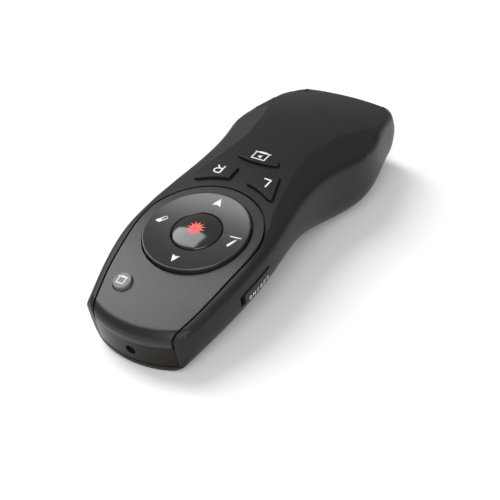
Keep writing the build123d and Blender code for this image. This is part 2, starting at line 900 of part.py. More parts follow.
with BuildPart() as nav_ring:
    with BuildSketch(upright_section):
        with BuildLine():
            Polyline(
                (ring_bore, -ring_dish),
                (ring_radius - ring_edge, 0),
                (ring_radius, -ring_edge),
                (ring_radius, -flange_top),
                (flange_radius, -flange_top),
                (flange_radius, -flange_top - flange_thickness),
                (ring_radius - ring_rim, -flange_top - flange_thickness),
                (ring_radius - ring_rim, -ring_plate),
                (hub_outer, -ring_plate),
                (hub_outer, -pivot_depth - hub_reach),
                (hub_inner, -pivot_depth - hub_reach),
                (hub_inner, -ring_plate),
                (ring_bore, -ring_plate),
                close=True,
            )
        make_face()
    revolve(axis=deck_axis)
    add(pillars(nub_radius, key_places[1:5], -ring_plate, nub_gap - dome_top))
    with BuildSketch(across(0)):
        with Locations((0, -pivot_depth)):
            Circle(pin_radius + pin_gap)
    extrude(amount=hub_outer + overcut, both=True, mode=Mode.SUBTRACT)

nav_ring.part.label = "nav_ring"
export_step(nav_ring.part, "parts/nav_ring.step")

with BuildPart() as ring_gimbal:
    with BuildSketch(deck.offset(-pivot_depth - cradle_thickness / 2)):
        Circle(cradle_outer)
        Circle(cradle_inner, mode=Mode.SUBTRACT)
    extrude(amount=cradle_thickness)
    for side in (1, -1):
        with BuildSketch(across(side * (cradle_outer + pin_reach))):
            with Locations((0, -pivot_depth)):
                Circle(pin_radius)
        extrude(amount=side * (pin_reach + (cradle_outer - cradle_inner) / 2))
        with BuildSketch(along(side * (cradle_inner + cradle_outer) / 2)):
            with Locations((0, -pivot_depth)):
                Circle(pin_radius)
        extrude(amount=-side * (pin_reach + cradle_outer / 2 - collar_outer / 2))

ring_gimbal.part.label = "ring_gimbal"
export_step(ring_gimbal.part, "parts/ring_gimbal.step")

with BuildPart() as button_guide:
    with BuildSketch(deck.offset(-board_top)):
        Circle(collar_outer)
        Circle(collar_bore, mode=Mode.SUBTRACT)
    extrude(amount=board_top - collar_top)
    with BuildSketch(along(0)):
        with Locations((0, -pivot_depth)):
            Circle(pin_radius + pin_gap)
    extrude(amount=collar_outer + overcut, both=True, mode=Mode.SUBTRACT)

button_guide.part.label = "button_guide"
export_step(button_guide.part, "parts/button_guide.step")

# ---------------------------------------------------------------- keys
with BuildPart() as laser_button:
    with BuildSketch(upright_section):
        with BuildLine():
            RadiusArc(
                (0, button_crown - button_edge_drop),
                (button_face, -button_edge_drop),
                button_sweep,
            )
            Polyline(
                (button_face, -button_edge_drop),
                (button_radius, -button_edge_drop - ring_edge),
                (button_radius, -button_skirt_depth),
                (button_radius - button_skirt_wall, -button_skirt_depth),
                (button_radius - button_skirt_wall, -button_edge_drop - button_cap),
                (stem_radius, -button_edge_drop - button_cap),
                (stem_radius, -stem_depth),
                (0, -stem_depth),
                (0, button_crown - button_edge_drop),
            )
        make_face()
    revolve(axis=deck_axis)

laser_button.part.label = "laser_button"
export_step(laser_button.part, "parts/laser_button.step")

for name, side in (("left_key", 1), ("right_key", -1)):
    shape = key_shape(
        side_key_outline(side, 0),
        side_key_outline(side, key_lap),
        proud,
        (side * key_stem_x, key_stem_y),
        key_flange_top,
    )
    shape.label = name
    export_step(shape, f"parts/{name}.step")

screen_key = key_shape(
    screen_key_outline(0),
    screen_key_outline(key_lap),
    proud,
    (0, screen_stem_y),
    screen_flange_top,
)
screen_key.label = "screen_key"
export_step(screen_key, "parts/screen_key.step")

tab_key = key_shape(
    tab_key_outline(0),
    tab_key_outline(key_lap),
    proud,
    (tab_key_x, tab_key_y),
    tab_flange_top,
)
tab_key.label = "tab_key"
export_step(tab_key, "parts/tab_key.step")

# ---------------------------------------------------------------- power slide switch
knob_tail = slot_tail_y - knob_gap
knob_nose = slot_nose_y + knob_gap + knob_travel
knob_middle = (knob_nose + knob_tail) / 2
slot_middle = (slot_top + slot_floor) / 2
lever_depth = board_under + switch_height / 2
switch_inner = switch_face - switch_depth
with BuildPart() as power_knob:
    with BuildSketch(along(knob_plate_face)):
        with Locations((knob_middle, -slot_middle)):
            RectangleRounded(
                knob_tail - knob_nose,
                slot_floor - slot_top - 2 * knob_gap,
                slot_corner - knob_gap,
            )
    extrude(amount=bust_half_width / 2)
    add(form(-knob_proud), mode=Mode.INTERSECT)
    with BuildSketch(along(plate_back)):
        with Locations((knob_middle, -slot_middle)):
            Rectangle(
                knob_tail - knob_nose + 2 * knob_lap,
                slot_floor - slot_top + 2 * knob_lap,
            )
    extrude(amount=knob_plate_thickness)
    with BuildSketch(along(switch_face)):
        with Locations((switch_y, -lever_depth)):
            Rectangle(lever_length + 2 * lever_gap, lever_height + 2 * lever_gap)
    extrude(amount=knob_plate_face - switch_face, mode=Mode.SUBTRACT)

power_knob.part.label = "power_knob"
export_step(power_knob.part, "parts/power_knob.step")

with BuildPart() as switch_lever:
    with BuildSketch(along(switch_face - lever_sink)):
        with Locations((switch_y, -lever_depth)):
            Rectangle(lever_length, lever_height)
    extrude(amount=knob_plate_face - switch_face + lever_sink - lever_gap)

switch_lever.part.label = "switch_lever"
export_step(switch_lever.part, "parts/switch_lever.step")

with BuildPart() as switch_body:
    with BuildSketch(along(switch_inner)):
        with Locations((switch_y - knob_travel / 2, -lever_depth)):
            Rectangle(switch_length, switch_height)
    extrude(amount=switch_depth)
    with BuildSketch(along(switch_face - lever_sink - lever_gap)):
        with Locations((switch_y - knob_travel / 2, -lever_depth)):
            Rectangle(
                lever_length + knob_travel + 4 * lever_gap,
                lever_height + 2 * lever_gap,
            )
    extrude(amount=switch_depth, mode=Mode.SUBTRACT)

switch_body.part.label = "switch_body"
export_step(switch_body.part, "parts/switch_body.step")

# ---------------------------------------------------------------- circuit board and its parts
with BuildPart() as main_board:
    with BuildSketch(deck.offset(-board_under)):
        with Locations((0, (board_nose_y + board_tail_y) / 2)):
            RectangleRounded(2 * board_half_width, board_tail_y - board_nose_y, board_corner)
        RectangleRounded(2 * board_wide_half, 2 * board_wide_reach, board_corner)
        with Locations(*boss_places):
            Circle(screw_hole, mode=Mode.SUBTRACT)
    extrude(amount=board_thickness)

main_board.part.label = "main_board"
export_step(main_board.part, "parts/main_board.step")

with BuildPart() as dome_contacts:
    with BuildSketch(deck.offset(-board_top)):
        with Locations(*key_places):
            Circle(dome_radius)
    extrude(amount=dome_height)
    crest = dome_contacts.faces().filter_by(lambda face: face.normal_at().dot(deck.z_dir) > 0.9)
    fillet(crest.edges(), radius=dome_round)

dome_contacts.part.label = "dome_contacts"
export_step(dome_contacts.part, "parts/dome_contacts.step")


def under_board(name, places, sizes, height):
    """Blocks soldered to the underside of the circuit board."""
    with BuildPart() as blocks:
        with BuildSketch(deck.offset(-board_under - height)):
            with Locations(*places):
                Rectangle(*sizes)
        extrude(amount=height)
    blocks.part.label = name
    export_step(blocks.part, f"parts/{name}.step")


under_board("control_chip", [(0, control_chip_y)], (control_chip_size, control_chip_size), chip_height)
under_board("radio_chip", [(0, radio_chip_y)], (radio_chip_size, radio_chip_size), chip_height)
under_board("board_crystal", [crystal_place], (crystal_width, crystal_length), chip_height)
under_board("board_antenna", [(0, antenna_y)], (antenna_length, antenna_width), chip_height / 2)
small_places = [(small_part_x, small_part_pitch * step) for step in range(-2, 5)]
under_board("board_small_parts", small_places, (small_part_length, small_part_width), small_part_height)

with BuildPart() as board_capacitors:
    with BuildSketch(deck.offset(-board_under - capacitor_height)):
        with Locations(*capacitor_places):
            Circle(capacitor_radius)
    extrude(amount=capacitor_height)

board_capacitors.part.label = "board_capacitors"
export_step(board_capacitors.part, "parts/board_capacitors.step")

# ---------------------------------------------------------------- laser
with BuildPart() as laser_barrel:
    with BuildSketch(barrel_axis):
        Circle(barrel_radius)
        Circle(barrel_bore, mode=Mode.SUBTRACT)
    extrude(amount=-barrel_length)

laser_barrel.part.label = "laser_barrel"
export_step(laser_barrel.part, "parts/laser_barrel.step")

with BuildPart() as laser_lens:
    with BuildSketch(barrel_axis.offset(-lens_set_back)):
        Circle(barrel_bore)
    extrude(amount=-lens_thickness)

laser_lens.part.label = "laser_lens"
export_step(laser_lens.part, "parts/laser_lens.step")

with BuildPart() as laser_diode:
    with BuildSketch(barrel_axis.offset(diode_length / 2 - barrel_length)):
        Circle(barrel_bore - diode_gap)
    extrude(amount=-diode_length)

laser_diode.part.label = "laser_diode"
export_step(laser_diode.part, "parts/laser_diode.step")

diode_back = barrel_length + diode_length / 2 - barrel_front
with BuildPart() as laser_leads:
    for side in (1, -1):
        with BuildSketch(across(diode_back + lead_rise)):
            with Locations((side * lead_spacing, -laser_depth)):
                Circle(lead_radius)
        extrude(amount=lead_rise)
        add(
            pillars(
                lead_radius,
                [(side * lead_spacing, diode_back + lead_rise - lead_radius)],
                -board_under,
                -laser_depth - lead_radius,
            )
        )

laser_leads.part.label = "laser_leads"
export_step(laser_leads.part, "parts/laser_leads.step")

# ---------------------------------------------------------------- batteries and their contacts
can_length = cell_length - nub_length
for name, side, towards, tip in (
    ("left_cell", 1, 1, bay_tail_y),
    ("right_cell", -1, -1, bay_nose_y),
):
    tip_plane = Plane(
        origin=(side * cell_pitch / 2, tip, cell_height),
        x_dir=(1, 0, 0),
        z_dir=(0, -towards, 0),
    )
    with BuildPart() as cell_can:
        with BuildSketch(tip_plane):
            Circle(terminal_radius)
        extrude(amount=nub_length)
        with BuildSketch(tip_plane.offset(nub_length)):
            Circle(cell_radius - sleeve_wall)
        extrude(amount=can_length)
    cell_can.part.label = f"{name}_can"
    export_step(cell_can.part, f"parts/{name}_can.step")

    with BuildPart() as cell_sleeve:
        with BuildSketch(tip_plane.offset(nub_length + sleeve_lap)):
            Circle(cell_radius)
            Circle(cell_radius - sleeve_wall, mode=Mode.SUBTRACT)
        extrude(amount=can_length - 2 * sleeve_lap)
    cell_sleeve.part.label = f"{name}_sleeve"
    export_step(cell_sleeve.part, f"parts/{name}_sleeve.step")

with BuildPart() as front_contacts:
    with BuildSketch(Plane.XZ.offset(contact_thickness - bay_nose_y)):
        with Locations((-cell_pitch / 2, cell_height), (cell_pitch / 2, cell_height)):
            RectangleRounded(contact_width, contact_height, contact_corner)
    extrude(amount=-contact_thickness)

front_contacts.part.label = "front_contacts"
export_step(front_contacts.part, "parts/front_contacts.step")

with BuildPart() as rear_contact_link:
    with BuildSketch(Plane.XZ.offset(-bay_tail_y)):
        with Locations((0, cell_height)):
            RectangleRounded(contact_width + cell_pitch, contact_height, contact_corner)
    extrude(amount=-contact_thickness)

rear_contact_link.part.label = "rear_contact_link"
export_step(rear_contact_link.part, "parts/rear_contact_link.step")

with BuildPart() as battery_springs:
    for side, base, towards in ((1, bay_nose_y, 1), (-1, bay_tail_y, -1)):
        foot = Plane(
            origin=(side * cell_pitch / 2, base + towards * spring_wire, cell_height),
            x_dir=(1, 0, 0),
            z_dir=(0, towards, 0),
        )
        height = spring_length - 2 * spring_wire
        rise = height / spring_turns
        coil = foot.location * Helix(rise, height, spring_wide, cone_angle=-spring_taper)
        with BuildSketch(Plane(origin=coil @ 0, z_dir=coil % 0)):
            Circle(spring_wire)
        sweep(path=coil)

battery_springs.part.label = "battery_springs"
export_step(battery_springs.part, "parts/battery_springs.step")

# ---------------------------------------------------------------- stowed USB receiver
receiver_axis = Plane(
    origin=(0, receiver_nose_y, receiver_height),
    x_dir=(1, 0, 0),
    z_dir=(0, -1, 0),
)
with BuildPart() as receiver_shell:
    with BuildSketch(receiver_axis):
        RectangleRounded(plug_width, plug_height, plug_corner)
        Rectangle(plug_width - 2 * plug_wall, plug_height - 2 * plug_wall, mode=Mode.SUBTRACT)
    extrude(amount=-plug_length)

receiver_shell.part.label = "receiver_shell"
export_step(receiver_shell.part, "parts/receiver_shell.step")

with BuildPart() as receiver_tongue:
    with BuildSketch(receiver_axis.offset(-2 * plug_wall)):
        with Locations((0, plug_height / 2 - plug_wall - tongue_board / 2)):
            Rectangle(plug_width - 2 * plug_wall, tongue_board)
    extrude(amount=2 * plug_wall - plug_length)

receiver_tongue.part.label = "receiver_tongue"
export_step(receiver_tongue.part, "parts/receiver_tongue.step")

with BuildPart() as receiver_cap:
    with BuildSketch(receiver_axis.offset(-plug_length)):
        RectangleRounded(grip_width, grip_height, grip_round)
    extrude(amount=-grip_length)
    fillet(receiver_cap.faces().sort_by(Axis.Y)[-1].edges(), radius=grip_round)

receiver_cap.part.label = "receiver_cap"
export_step(receiver_cap.part, "parts/receiver_cap.step")
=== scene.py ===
"""Dresses the wireless presentation clicker: smooth skins, keys, marks, finishes, light and camera."""

import json
import logging
import math
from collections.abc import Callable
from dataclasses import dataclass, field
from enum import Enum

import bmesh
import bpy
import numpy as np
from mathutils import Matrix, Vector

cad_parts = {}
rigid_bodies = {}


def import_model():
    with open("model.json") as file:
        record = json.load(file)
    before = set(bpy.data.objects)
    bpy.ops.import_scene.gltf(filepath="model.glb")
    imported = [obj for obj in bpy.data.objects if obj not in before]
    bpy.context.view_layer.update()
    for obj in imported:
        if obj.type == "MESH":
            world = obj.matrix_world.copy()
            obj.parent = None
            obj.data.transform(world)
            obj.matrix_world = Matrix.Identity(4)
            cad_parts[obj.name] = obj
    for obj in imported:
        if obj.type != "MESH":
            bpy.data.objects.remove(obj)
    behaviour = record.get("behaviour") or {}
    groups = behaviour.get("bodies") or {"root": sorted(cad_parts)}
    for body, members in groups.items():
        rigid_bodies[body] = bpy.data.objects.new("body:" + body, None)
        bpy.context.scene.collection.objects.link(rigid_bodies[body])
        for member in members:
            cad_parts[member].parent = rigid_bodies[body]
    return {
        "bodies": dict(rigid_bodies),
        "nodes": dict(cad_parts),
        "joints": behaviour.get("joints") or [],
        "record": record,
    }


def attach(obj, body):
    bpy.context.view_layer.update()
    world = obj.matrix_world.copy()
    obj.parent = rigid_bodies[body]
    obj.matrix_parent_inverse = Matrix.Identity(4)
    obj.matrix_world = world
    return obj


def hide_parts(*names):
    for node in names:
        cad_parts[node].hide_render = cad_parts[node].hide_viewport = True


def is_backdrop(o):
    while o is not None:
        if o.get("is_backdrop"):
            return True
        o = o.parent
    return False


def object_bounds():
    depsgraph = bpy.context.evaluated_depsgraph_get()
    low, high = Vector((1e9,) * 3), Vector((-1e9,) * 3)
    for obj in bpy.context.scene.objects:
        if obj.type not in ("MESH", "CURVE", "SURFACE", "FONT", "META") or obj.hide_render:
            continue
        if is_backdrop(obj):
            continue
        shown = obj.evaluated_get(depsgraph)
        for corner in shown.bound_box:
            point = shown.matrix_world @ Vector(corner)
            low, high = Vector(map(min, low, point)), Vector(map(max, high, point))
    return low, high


logging.basicConfig(level=logging.INFO, format="%(levelname)s %(message)s")
log = logging.getLogger("clicker")

MM = 0.001
Array = np.ndarray
Spot = tuple[float, float]
Path = list[Spot]
Lay = Callable[[Array, Array, float], Array]
Pieces = list[bpy.types.Object]

# In millimetres: a level well inside the body, and how far the keys and the knob stand proud of it.
FAR_INSIDE = -9.0
KEY_PROUD = 0.9
KNOB_PROUD = 0.35


class Body(Enum):
    """The moving bodies that pieces ride on."""

    HOUSING = "housing"
    RING = "nav_ring_body"
    BUTTON = "laser_button_body"
    LEFT = "left_key_body"
    RIGHT = "right_key_body"
    SCREEN = "screen_key_body"
    TAB = "tab_key_body"
    KNOB = "power_knob_body"
    DOOR = "door_body"


@dataclass(frozen=True)
class DeckFrame:
    """The tilted deck's own frame, in millimetres, and its place in the world."""

    dip: float = math.radians(10.0)
    origin: tuple[float, float, float] = (0.0, -25.72, 21.86)

    def turn(self) -> Array:
        """Returns the matrix whose columns are the deck's axes in the world."""
        c, s = math.cos(self.dip), math.sin(self.dip)
        return np.array([[1, 0, 0], [0, c, -s], [0, s, c]])

    def to_world(self, points: Array) -> Array:
        """Carries deck points in millimetres, of shape (n, 3), to world points in metres."""
        return (points @ self.turn().T + np.array(self.origin)) * MM

    def to_deck(self, points: Array) -> Array:
        """Carries world points in metres to deck points in millimetres."""
        return (points / MM - np.array(self.origin)) @ self.turn()


def ease(t: Array) -> Array:
    """Half a cosine wave from 0 to 1, flat beyond both ends."""
    return (1 - np.cos(np.pi * np.clip(t, 0, 1))) / 2


@dataclass(frozen=True)
class Bend:
    """A curve that is nought up to its start and grows as a power of the way to its end."""

    start: float
    end: float
    amount: float
    power: float = 1.0

    def at(self, y: Array) -> Array:
        """The amount times the share of the way, not below nought, to the power."""
        return self.amount * np.maximum((y - self.start) / (self.end - self.start), 0) ** self.power


@dataclass(frozen=True)
class EndWall:
    """The upright wall that closes one end of the body: an arc seen from above, rounded at its foot.

    Its edges towards the deck and the flanks have a radius that grows by each amount in rounds, in
    half a cosine wave, above the height that is given with it.
    """

    tip: float
    setback: float
    half: float
    start: float
    foot: float
    foot_round: float
    rounds: tuple[Spot, ...]
    least_round: float = 0.4
    round_run: float = 4.0

    @property
    def side(self) -> float:
        """Minus one for the nose and one for the tail."""
        return math.copysign(1.0, self.tip)

    @property
    def corner(self) -> float:
        """Place along the body where the arc meets the flanks."""
        return self.tip - self.side * self.setback

    def level(self, points: Array) -> Array:
        """Level of the wall: distance from the arc's centre less its radius, rounded at the foot.

        Args:
            points: Deck points of shape (n, 3).

        Returns:
            The level at each point, negative inside, and far inside beyond the wall's own end.
        """
        x, y, z = points.T
        radius = (self.half**2 + self.setback**2) / (2 * self.setback)
        away = np.hypot(x, y - (self.tip - self.side * radius)) - radius
        away = np.where(self.side * (y - self.start) > 0, away, FAR_INSIDE)
        drop = np.maximum(self.foot + self.foot_round - z, 0)
        below = np.hypot(np.maximum(away + self.foot_round, 0), drop) - self.foot_round
        return np.where(drop > 0, below, away)

    def edge_radius(self, z: Array) -> Array:
        """Radius of the wall's edges at each height."""
        return self.least_round + sum(more * ease((z - low) / self.round_run) for more, low in self.rounds)


@dataclass(frozen=True)
class BodyForm:
    """The clicker's outer form, in the deck frame, as a level function that is zero on the skin."""

    nose: EndWall = EndWall(-33.1, 3.7, 14.05, 0.0, -17.0, 2.0, ((1.0, -15.0), (1.2, -9.0)))
    tail: EndWall = EndWall(79.2, 1.3, 14.9, 40.0, -33.0, 4.5, ((0.4, -27.0),))
    bust_y: float = 0.5
    bust_half: float = 19.15
    waist_y: float = 29.5
    waist_half: float = 16.65
    hip_y: float = 50.8
    hip_half: float = 21.1
    flare_power: float = 1.8
    taper_power: float = 1.25
    deck_rest: float = -0.85
    deck_bends: tuple[Bend, ...] = (Bend(0.0, -33.1, -2.75, 2.2), Bend(16.0, 79.2, -15.1, 1.85))
    crown_least: float = 0.0009
    crown_more: float = 0.0027
    crown_run: float = 24.0
    spine_half: float = 10.3
    spine_bends: tuple[Bend, ...] = (Bend(39.3, 0.0, 8.4, 1.5), Bend(39.3, 65.3, 7.9, 1.8))
    strip_fall: float = 5.5
    facet_fall: float = 14.0
    facet_start: float = -8.0
    facet_end: float = 65.3
    lead_in: float = 16.0
    lead_out: float = 8.0
    floor_rest: float = -15.6
    floor_bends: tuple[Bend, ...] = (Bend(6.0, -33.1, -1.4, 1.5), Bend(52.0, 79.2, -1.7))
    arch_start: float = 6.0
    arch_run: float = 46.0
    arch_depth: float = 15.7
    shoulder_round: float = 1.2
    shoulder_depth: float = 3.8
    knee_share: float = 0.45
    bulge: float = 0.9
    bulge_blur: float = 6.0
    roundness: float = 0.82
    least_strip: float = 2.6
    steps: int = 9
    flank_steps: int = 25
    settle_reach: float = 0.06
    settle_fade: float = 0.12
    least_slope: float = 0.2
    frame: DeckFrame = field(default_factory=DeckFrame)

    def half_width(self, y: Array) -> Array:
        """Half the deck's width: a quarter sine to the bust, half a cosine to the waist, a power
        curve out to the hip corner and another one in to the tail.

        Args:
            y: Places along the body.

        Returns:
            The half width at each place.
        """
        nose, tail = self.nose.corner, self.tail.corner
        quarter = np.pi / 2 / (self.bust_y - nose)
        spread = self.bust_half - self.nose.half
        lead = np.where(y < nose, quarter * (y - nose), np.sin(quarter * (np.maximum(y, nose) - nose)))
        front = self.nose.half + spread * lead
        fall = ease((y - self.bust_y) / (self.waist_y - self.bust_y))
        middle = self.bust_half - (self.bust_half - self.waist_half) * fall
        rise = np.clip((y - self.waist_y) / (self.hip_y - self.waist_y), 0, 1) ** self.flare_power
        flare = self.waist_half + (self.hip_half - self.waist_half) * rise
        rear = self.hip_half - Bend(self.hip_y, tail, self.hip_half - self.tail.half, self.taper_power).at(y)
        result = np.where(y < self.bust_y, front, middle)
        result = np.where(y > self.waist_y, flare, result)
        return np.where(y > self.hip_y, rear, result)

    def deck_height(self, y: Array) -> Array:
        """Height of the deck's middle line: it falls as a power of the way to the nose and the tail."""
        return self.deck_rest + sum(bend.at(y) for bend in self.deck_bends)

    def facet_edge(self, y: Array) -> Array:
        """Half the width of the spine between the thumb facets, narrowest at the middle."""
        return self.spine_half + sum(bend.at(y) for bend in self.spine_bends)

    def facet_slope(self, y: Array) -> Array:
        """Cross fall of the strip outside the spine, fading in and out of the facets."""
        leads = (ease((y - self.facet_start) / self.lead_in), ease((self.facet_end - y) / self.lead_out))
        return np.tan(np.radians(self.strip_fall + self.facet_fall * np.minimum(*leads)))

    def floor_height(self, y: Array) -> Array:
        """Height of the underside's middle line: nose, finger arch, hip and tail."""
        arch = self.arch_depth * ease((y - self.arch_start) / self.arch_run)
        return self.floor_rest - arch + sum(bend.at(y) for bend in self.floor_bends)

    def top(self, x: Array, y: Array) -> Array:
        """Height of the deck: a crowned spine with a straight strip falling away outside it.

        Args:
            x: Places across the body.
            y: Places along the body.

        Returns:
            The height at each place.
        """
        crown = self.crown_least + self.crown_more * np.clip(np.abs(y) / self.crown_run, 0, 1) ** 2
        edge = np.minimum(self.facet_edge(y), self.half_width(y) - self.least_strip)
        inside = np.minimum(np.abs(x), edge)
        outside = np.maximum(np.abs(x) - edge, 0)
        return self.deck_height(y) - crown * inside**2 - self.facet_slope(y) * outside

    @staticmethod
    def bezier(corners: list[Array], t: Array) -> Array:
        """Bezier curves for many sections at once: corners weighed by Bernstein's polynomials.

        Args:
            corners: Corners of the curves, each of shape (n, 2).
            t: Parameters of shape (m,).

        Returns:
            Points of shape (n, m, 2).
        """
        last = len(corners) - 1
        weights = [math.comb(last, k) * (1 - t) ** (last - k) * t**k for k in range(last + 1)]
        return sum(w[None, :, None] * p[:, None, :] for w, p in zip(weights, corners))

    def section(self, y: Array) -> Array:
        """Half cross-sections: crown, strip, rounded shoulder, flank and underside.

        Args:
            y: Places along the body, of shape (n,).

        Returns:
            Points (x, z) of shape (n, m, 2), from the spine to the middle of the underside.
        """
        half = self.half_width(y)
        edge = np.minimum(self.facet_edge(y), half - self.least_strip)
        edge_z = self.top(edge, y)
        slope = self.facet_slope(y)
        crease = edge_z - (half - edge) * slope
        around = np.linspace(-self.bulge_blur, self.bulge_blur, self.steps)
        outline = sum(self.half_width(y + step) for step in around) / self.steps
        belly = outline + self.bulge
        belly_z = crease - self.shoulder_depth
        low = self.floor_height(y)
        knee = np.stack([belly, crease - self.knee_share * self.shoulder_depth], -1)
        corner = np.stack([half, crease], -1)
        back = np.stack([-np.ones_like(y), slope], -1) / np.hypot(1, slope)[:, None]
        down = knee - corner
        down = down / np.linalg.norm(down, axis=1)[:, None]
        start = corner + back * self.shoulder_round
        finish = corner + down * self.shoulder_round
        widest = np.stack([belly, belly_z], -1)
        fall = self.roundness * (belly_z - low)
        short = np.linspace(0, 1, self.steps)
        x = short[None, :] * edge[:, None]
        spine = np.stack([x, self.top(x, y[:, None])], -1)
        flank = [
            widest,
            np.stack([belly, belly_z - fall], -1),
            np.stack([self.roundness * belly, low], -1),
            np.stack([np.zeros_like(y), low], -1),
        ]
        shoulder = self.bezier([start, corner, finish], short)
        side = self.bezier([finish, knee, widest], short[1:])
        under = self.bezier(flank, np.linspace(0, 1, self.flank_steps)[1:])
        return np.concatenate([spine, shoulder, side, under], axis=1)

    def section_level(self, points: Array, batch: int = 8000) -> Array:
        """Signed distance to the cross-section at each point's own place, taken to its nearest run.

        Args:
            points: Deck points of shape (n, 3).
            batch: Points worked out at a time.

        Returns:
            The distances, negative inside.
        """
        result = np.empty(len(points))
        for start in range(0, len(points), batch):
            part = points[start : start + batch]
            outline = self.section(part[:, 1])
            spot = np.stack([np.abs(part[:, 0]), part[:, 2]], -1)[:, None, :]
            a, b = outline[:, :-1], outline[:, 1:]
            run = b - a
            length = np.maximum((run**2).sum(-1), 1e-12)
            t = np.clip(((spot - a) * run).sum(-1) / length, 0, 1)
            gap = spot - (a + t[..., None] * run)
            distance = (gap**2).sum(-1)
            near = distance.argmin(1)
            rows = np.arange(len(part))
            run, gap = run[rows, near], (spot - a)[rows, near]
            side = run[:, 0] * gap[:, 1] - run[:, 1] * gap[:, 0]
            result[start : start + batch] = np.sign(side) * np.sqrt(distance[rows, near])
        return result

    @staticmethod
    def rounded(first: Array, second: Array, radius: Array) -> Array:
        """Level of what two forms share, with their common edge rounded to a radius."""
        a, b = first + radius, second + radius
        return np.minimum(np.maximum(a, b), 0) + np.hypot(np.maximum(a, 0), np.maximum(b, 0)) - radius

    def level(self, points: Array) -> Array:
        """Level of the whole body: its sections, rounded into the arcs of the nose and the tail,
        and cut level where it stands on the table.

        Args:
            points: Deck points of shape (n, 3).

        Returns:
            The level at each point, negative inside.
        """
        result = self.section_level(points)
        for wall in (self.nose, self.tail):
            result = self.rounded(result, wall.level(points), wall.edge_radius(points[:, 2]))
        table = -self.frame.to_world(points)[:, 2] / MM
        return np.maximum(result, table)

    def slope(self, points: Array, step: float = 0.02) -> Array:
        """Slope of the level at deck points, by differences that reach a step to both sides."""
        pairs = [(self.level(points + axis), self.level(points - axis)) for axis in np.eye(3) * step]
        return np.stack([(ahead - behind) / (2 * step) for ahead, behind in pairs], -1)

    def normals(self, points: Array) -> Array:
        """The skin's outward normals at points on or near it."""
        slope = self.slope(points)
        return slope / np.maximum(np.linalg.norm(slope, axis=1), 1e-9)[:, None]

    def settle(self, points: Array) -> Array:
        """Moves points onto the skin along the level's slope, fading out for points far from it.

        Args:
            points: Deck points close to the skin.

        Returns:
            The moved points.
        """
        slope = self.slope(points)
        length = np.maximum((slope**2).sum(-1), self.least_slope)[:, None]
        level = self.level(points)
        trust = 1 - ease((np.abs(level) - self.settle_reach) / self.settle_fade)
        return points - slope * (trust * level)[:, None] / length


@dataclass(frozen=True)
class Finish:
    """One moulded, printed or metal finish, dressed with grain and small changes of tone."""

    name: str
    slot: str
    color: tuple[float, float, float]
    rough: float
    rough_spread: float = 0.05
    tone_spread: float = 0.06
    grain: float = 3500.0
    depth: float = 0.02
    metallic: float = 0.0
    coat: float = 0.0
    coat_rough: float = 0.1
    specular: float = 0.5
    transmission: float = 0.0

    def build(self) -> bpy.types.Material:
        """Makes the finish's material once and keeps it for further pieces.

        Returns:
            The material.
        """
        if self.name in bpy.data.materials:
            return bpy.data.materials[self.name]
        material = bpy.data.materials.new(self.name)
        material.use_nodes = True
        tree = material.node_tree
        shader = tree.nodes["Principled BSDF"]
        grain = tree.nodes.new("ShaderNodeGroup")
        grain.node_tree = moulded_grain()
        where = tree.nodes.new("ShaderNodeTexCoord")
        tree.links.new(where.outputs["Object"], grain.inputs["Place"])
        looks = (
            (grain, "Tint", (*self.color, 1)),
            (grain, "Tone spread", self.tone_spread),
            (grain, "Rough", self.rough),
            (grain, "Rough spread", self.rough_spread),
            (grain, "Grain", self.grain),
            (grain, "Depth", self.depth),
            (shader, "Metallic", self.metallic),
            (shader, "Coat Weight", self.coat),
            (shader, "Coat Roughness", self.coat_rough),
            (shader, "Specular IOR Level", self.specular),
            (shader, "Transmission Weight", self.transmission),
        )
        for node, name, value in looks:
            node.inputs[name].default_value = value
        for source, name in (("Color", "Base Color"), ("Roughness", "Roughness"), ("Normal", "Normal")):
            tree.links.new(grain.outputs[source], shader.inputs[name])
        return material


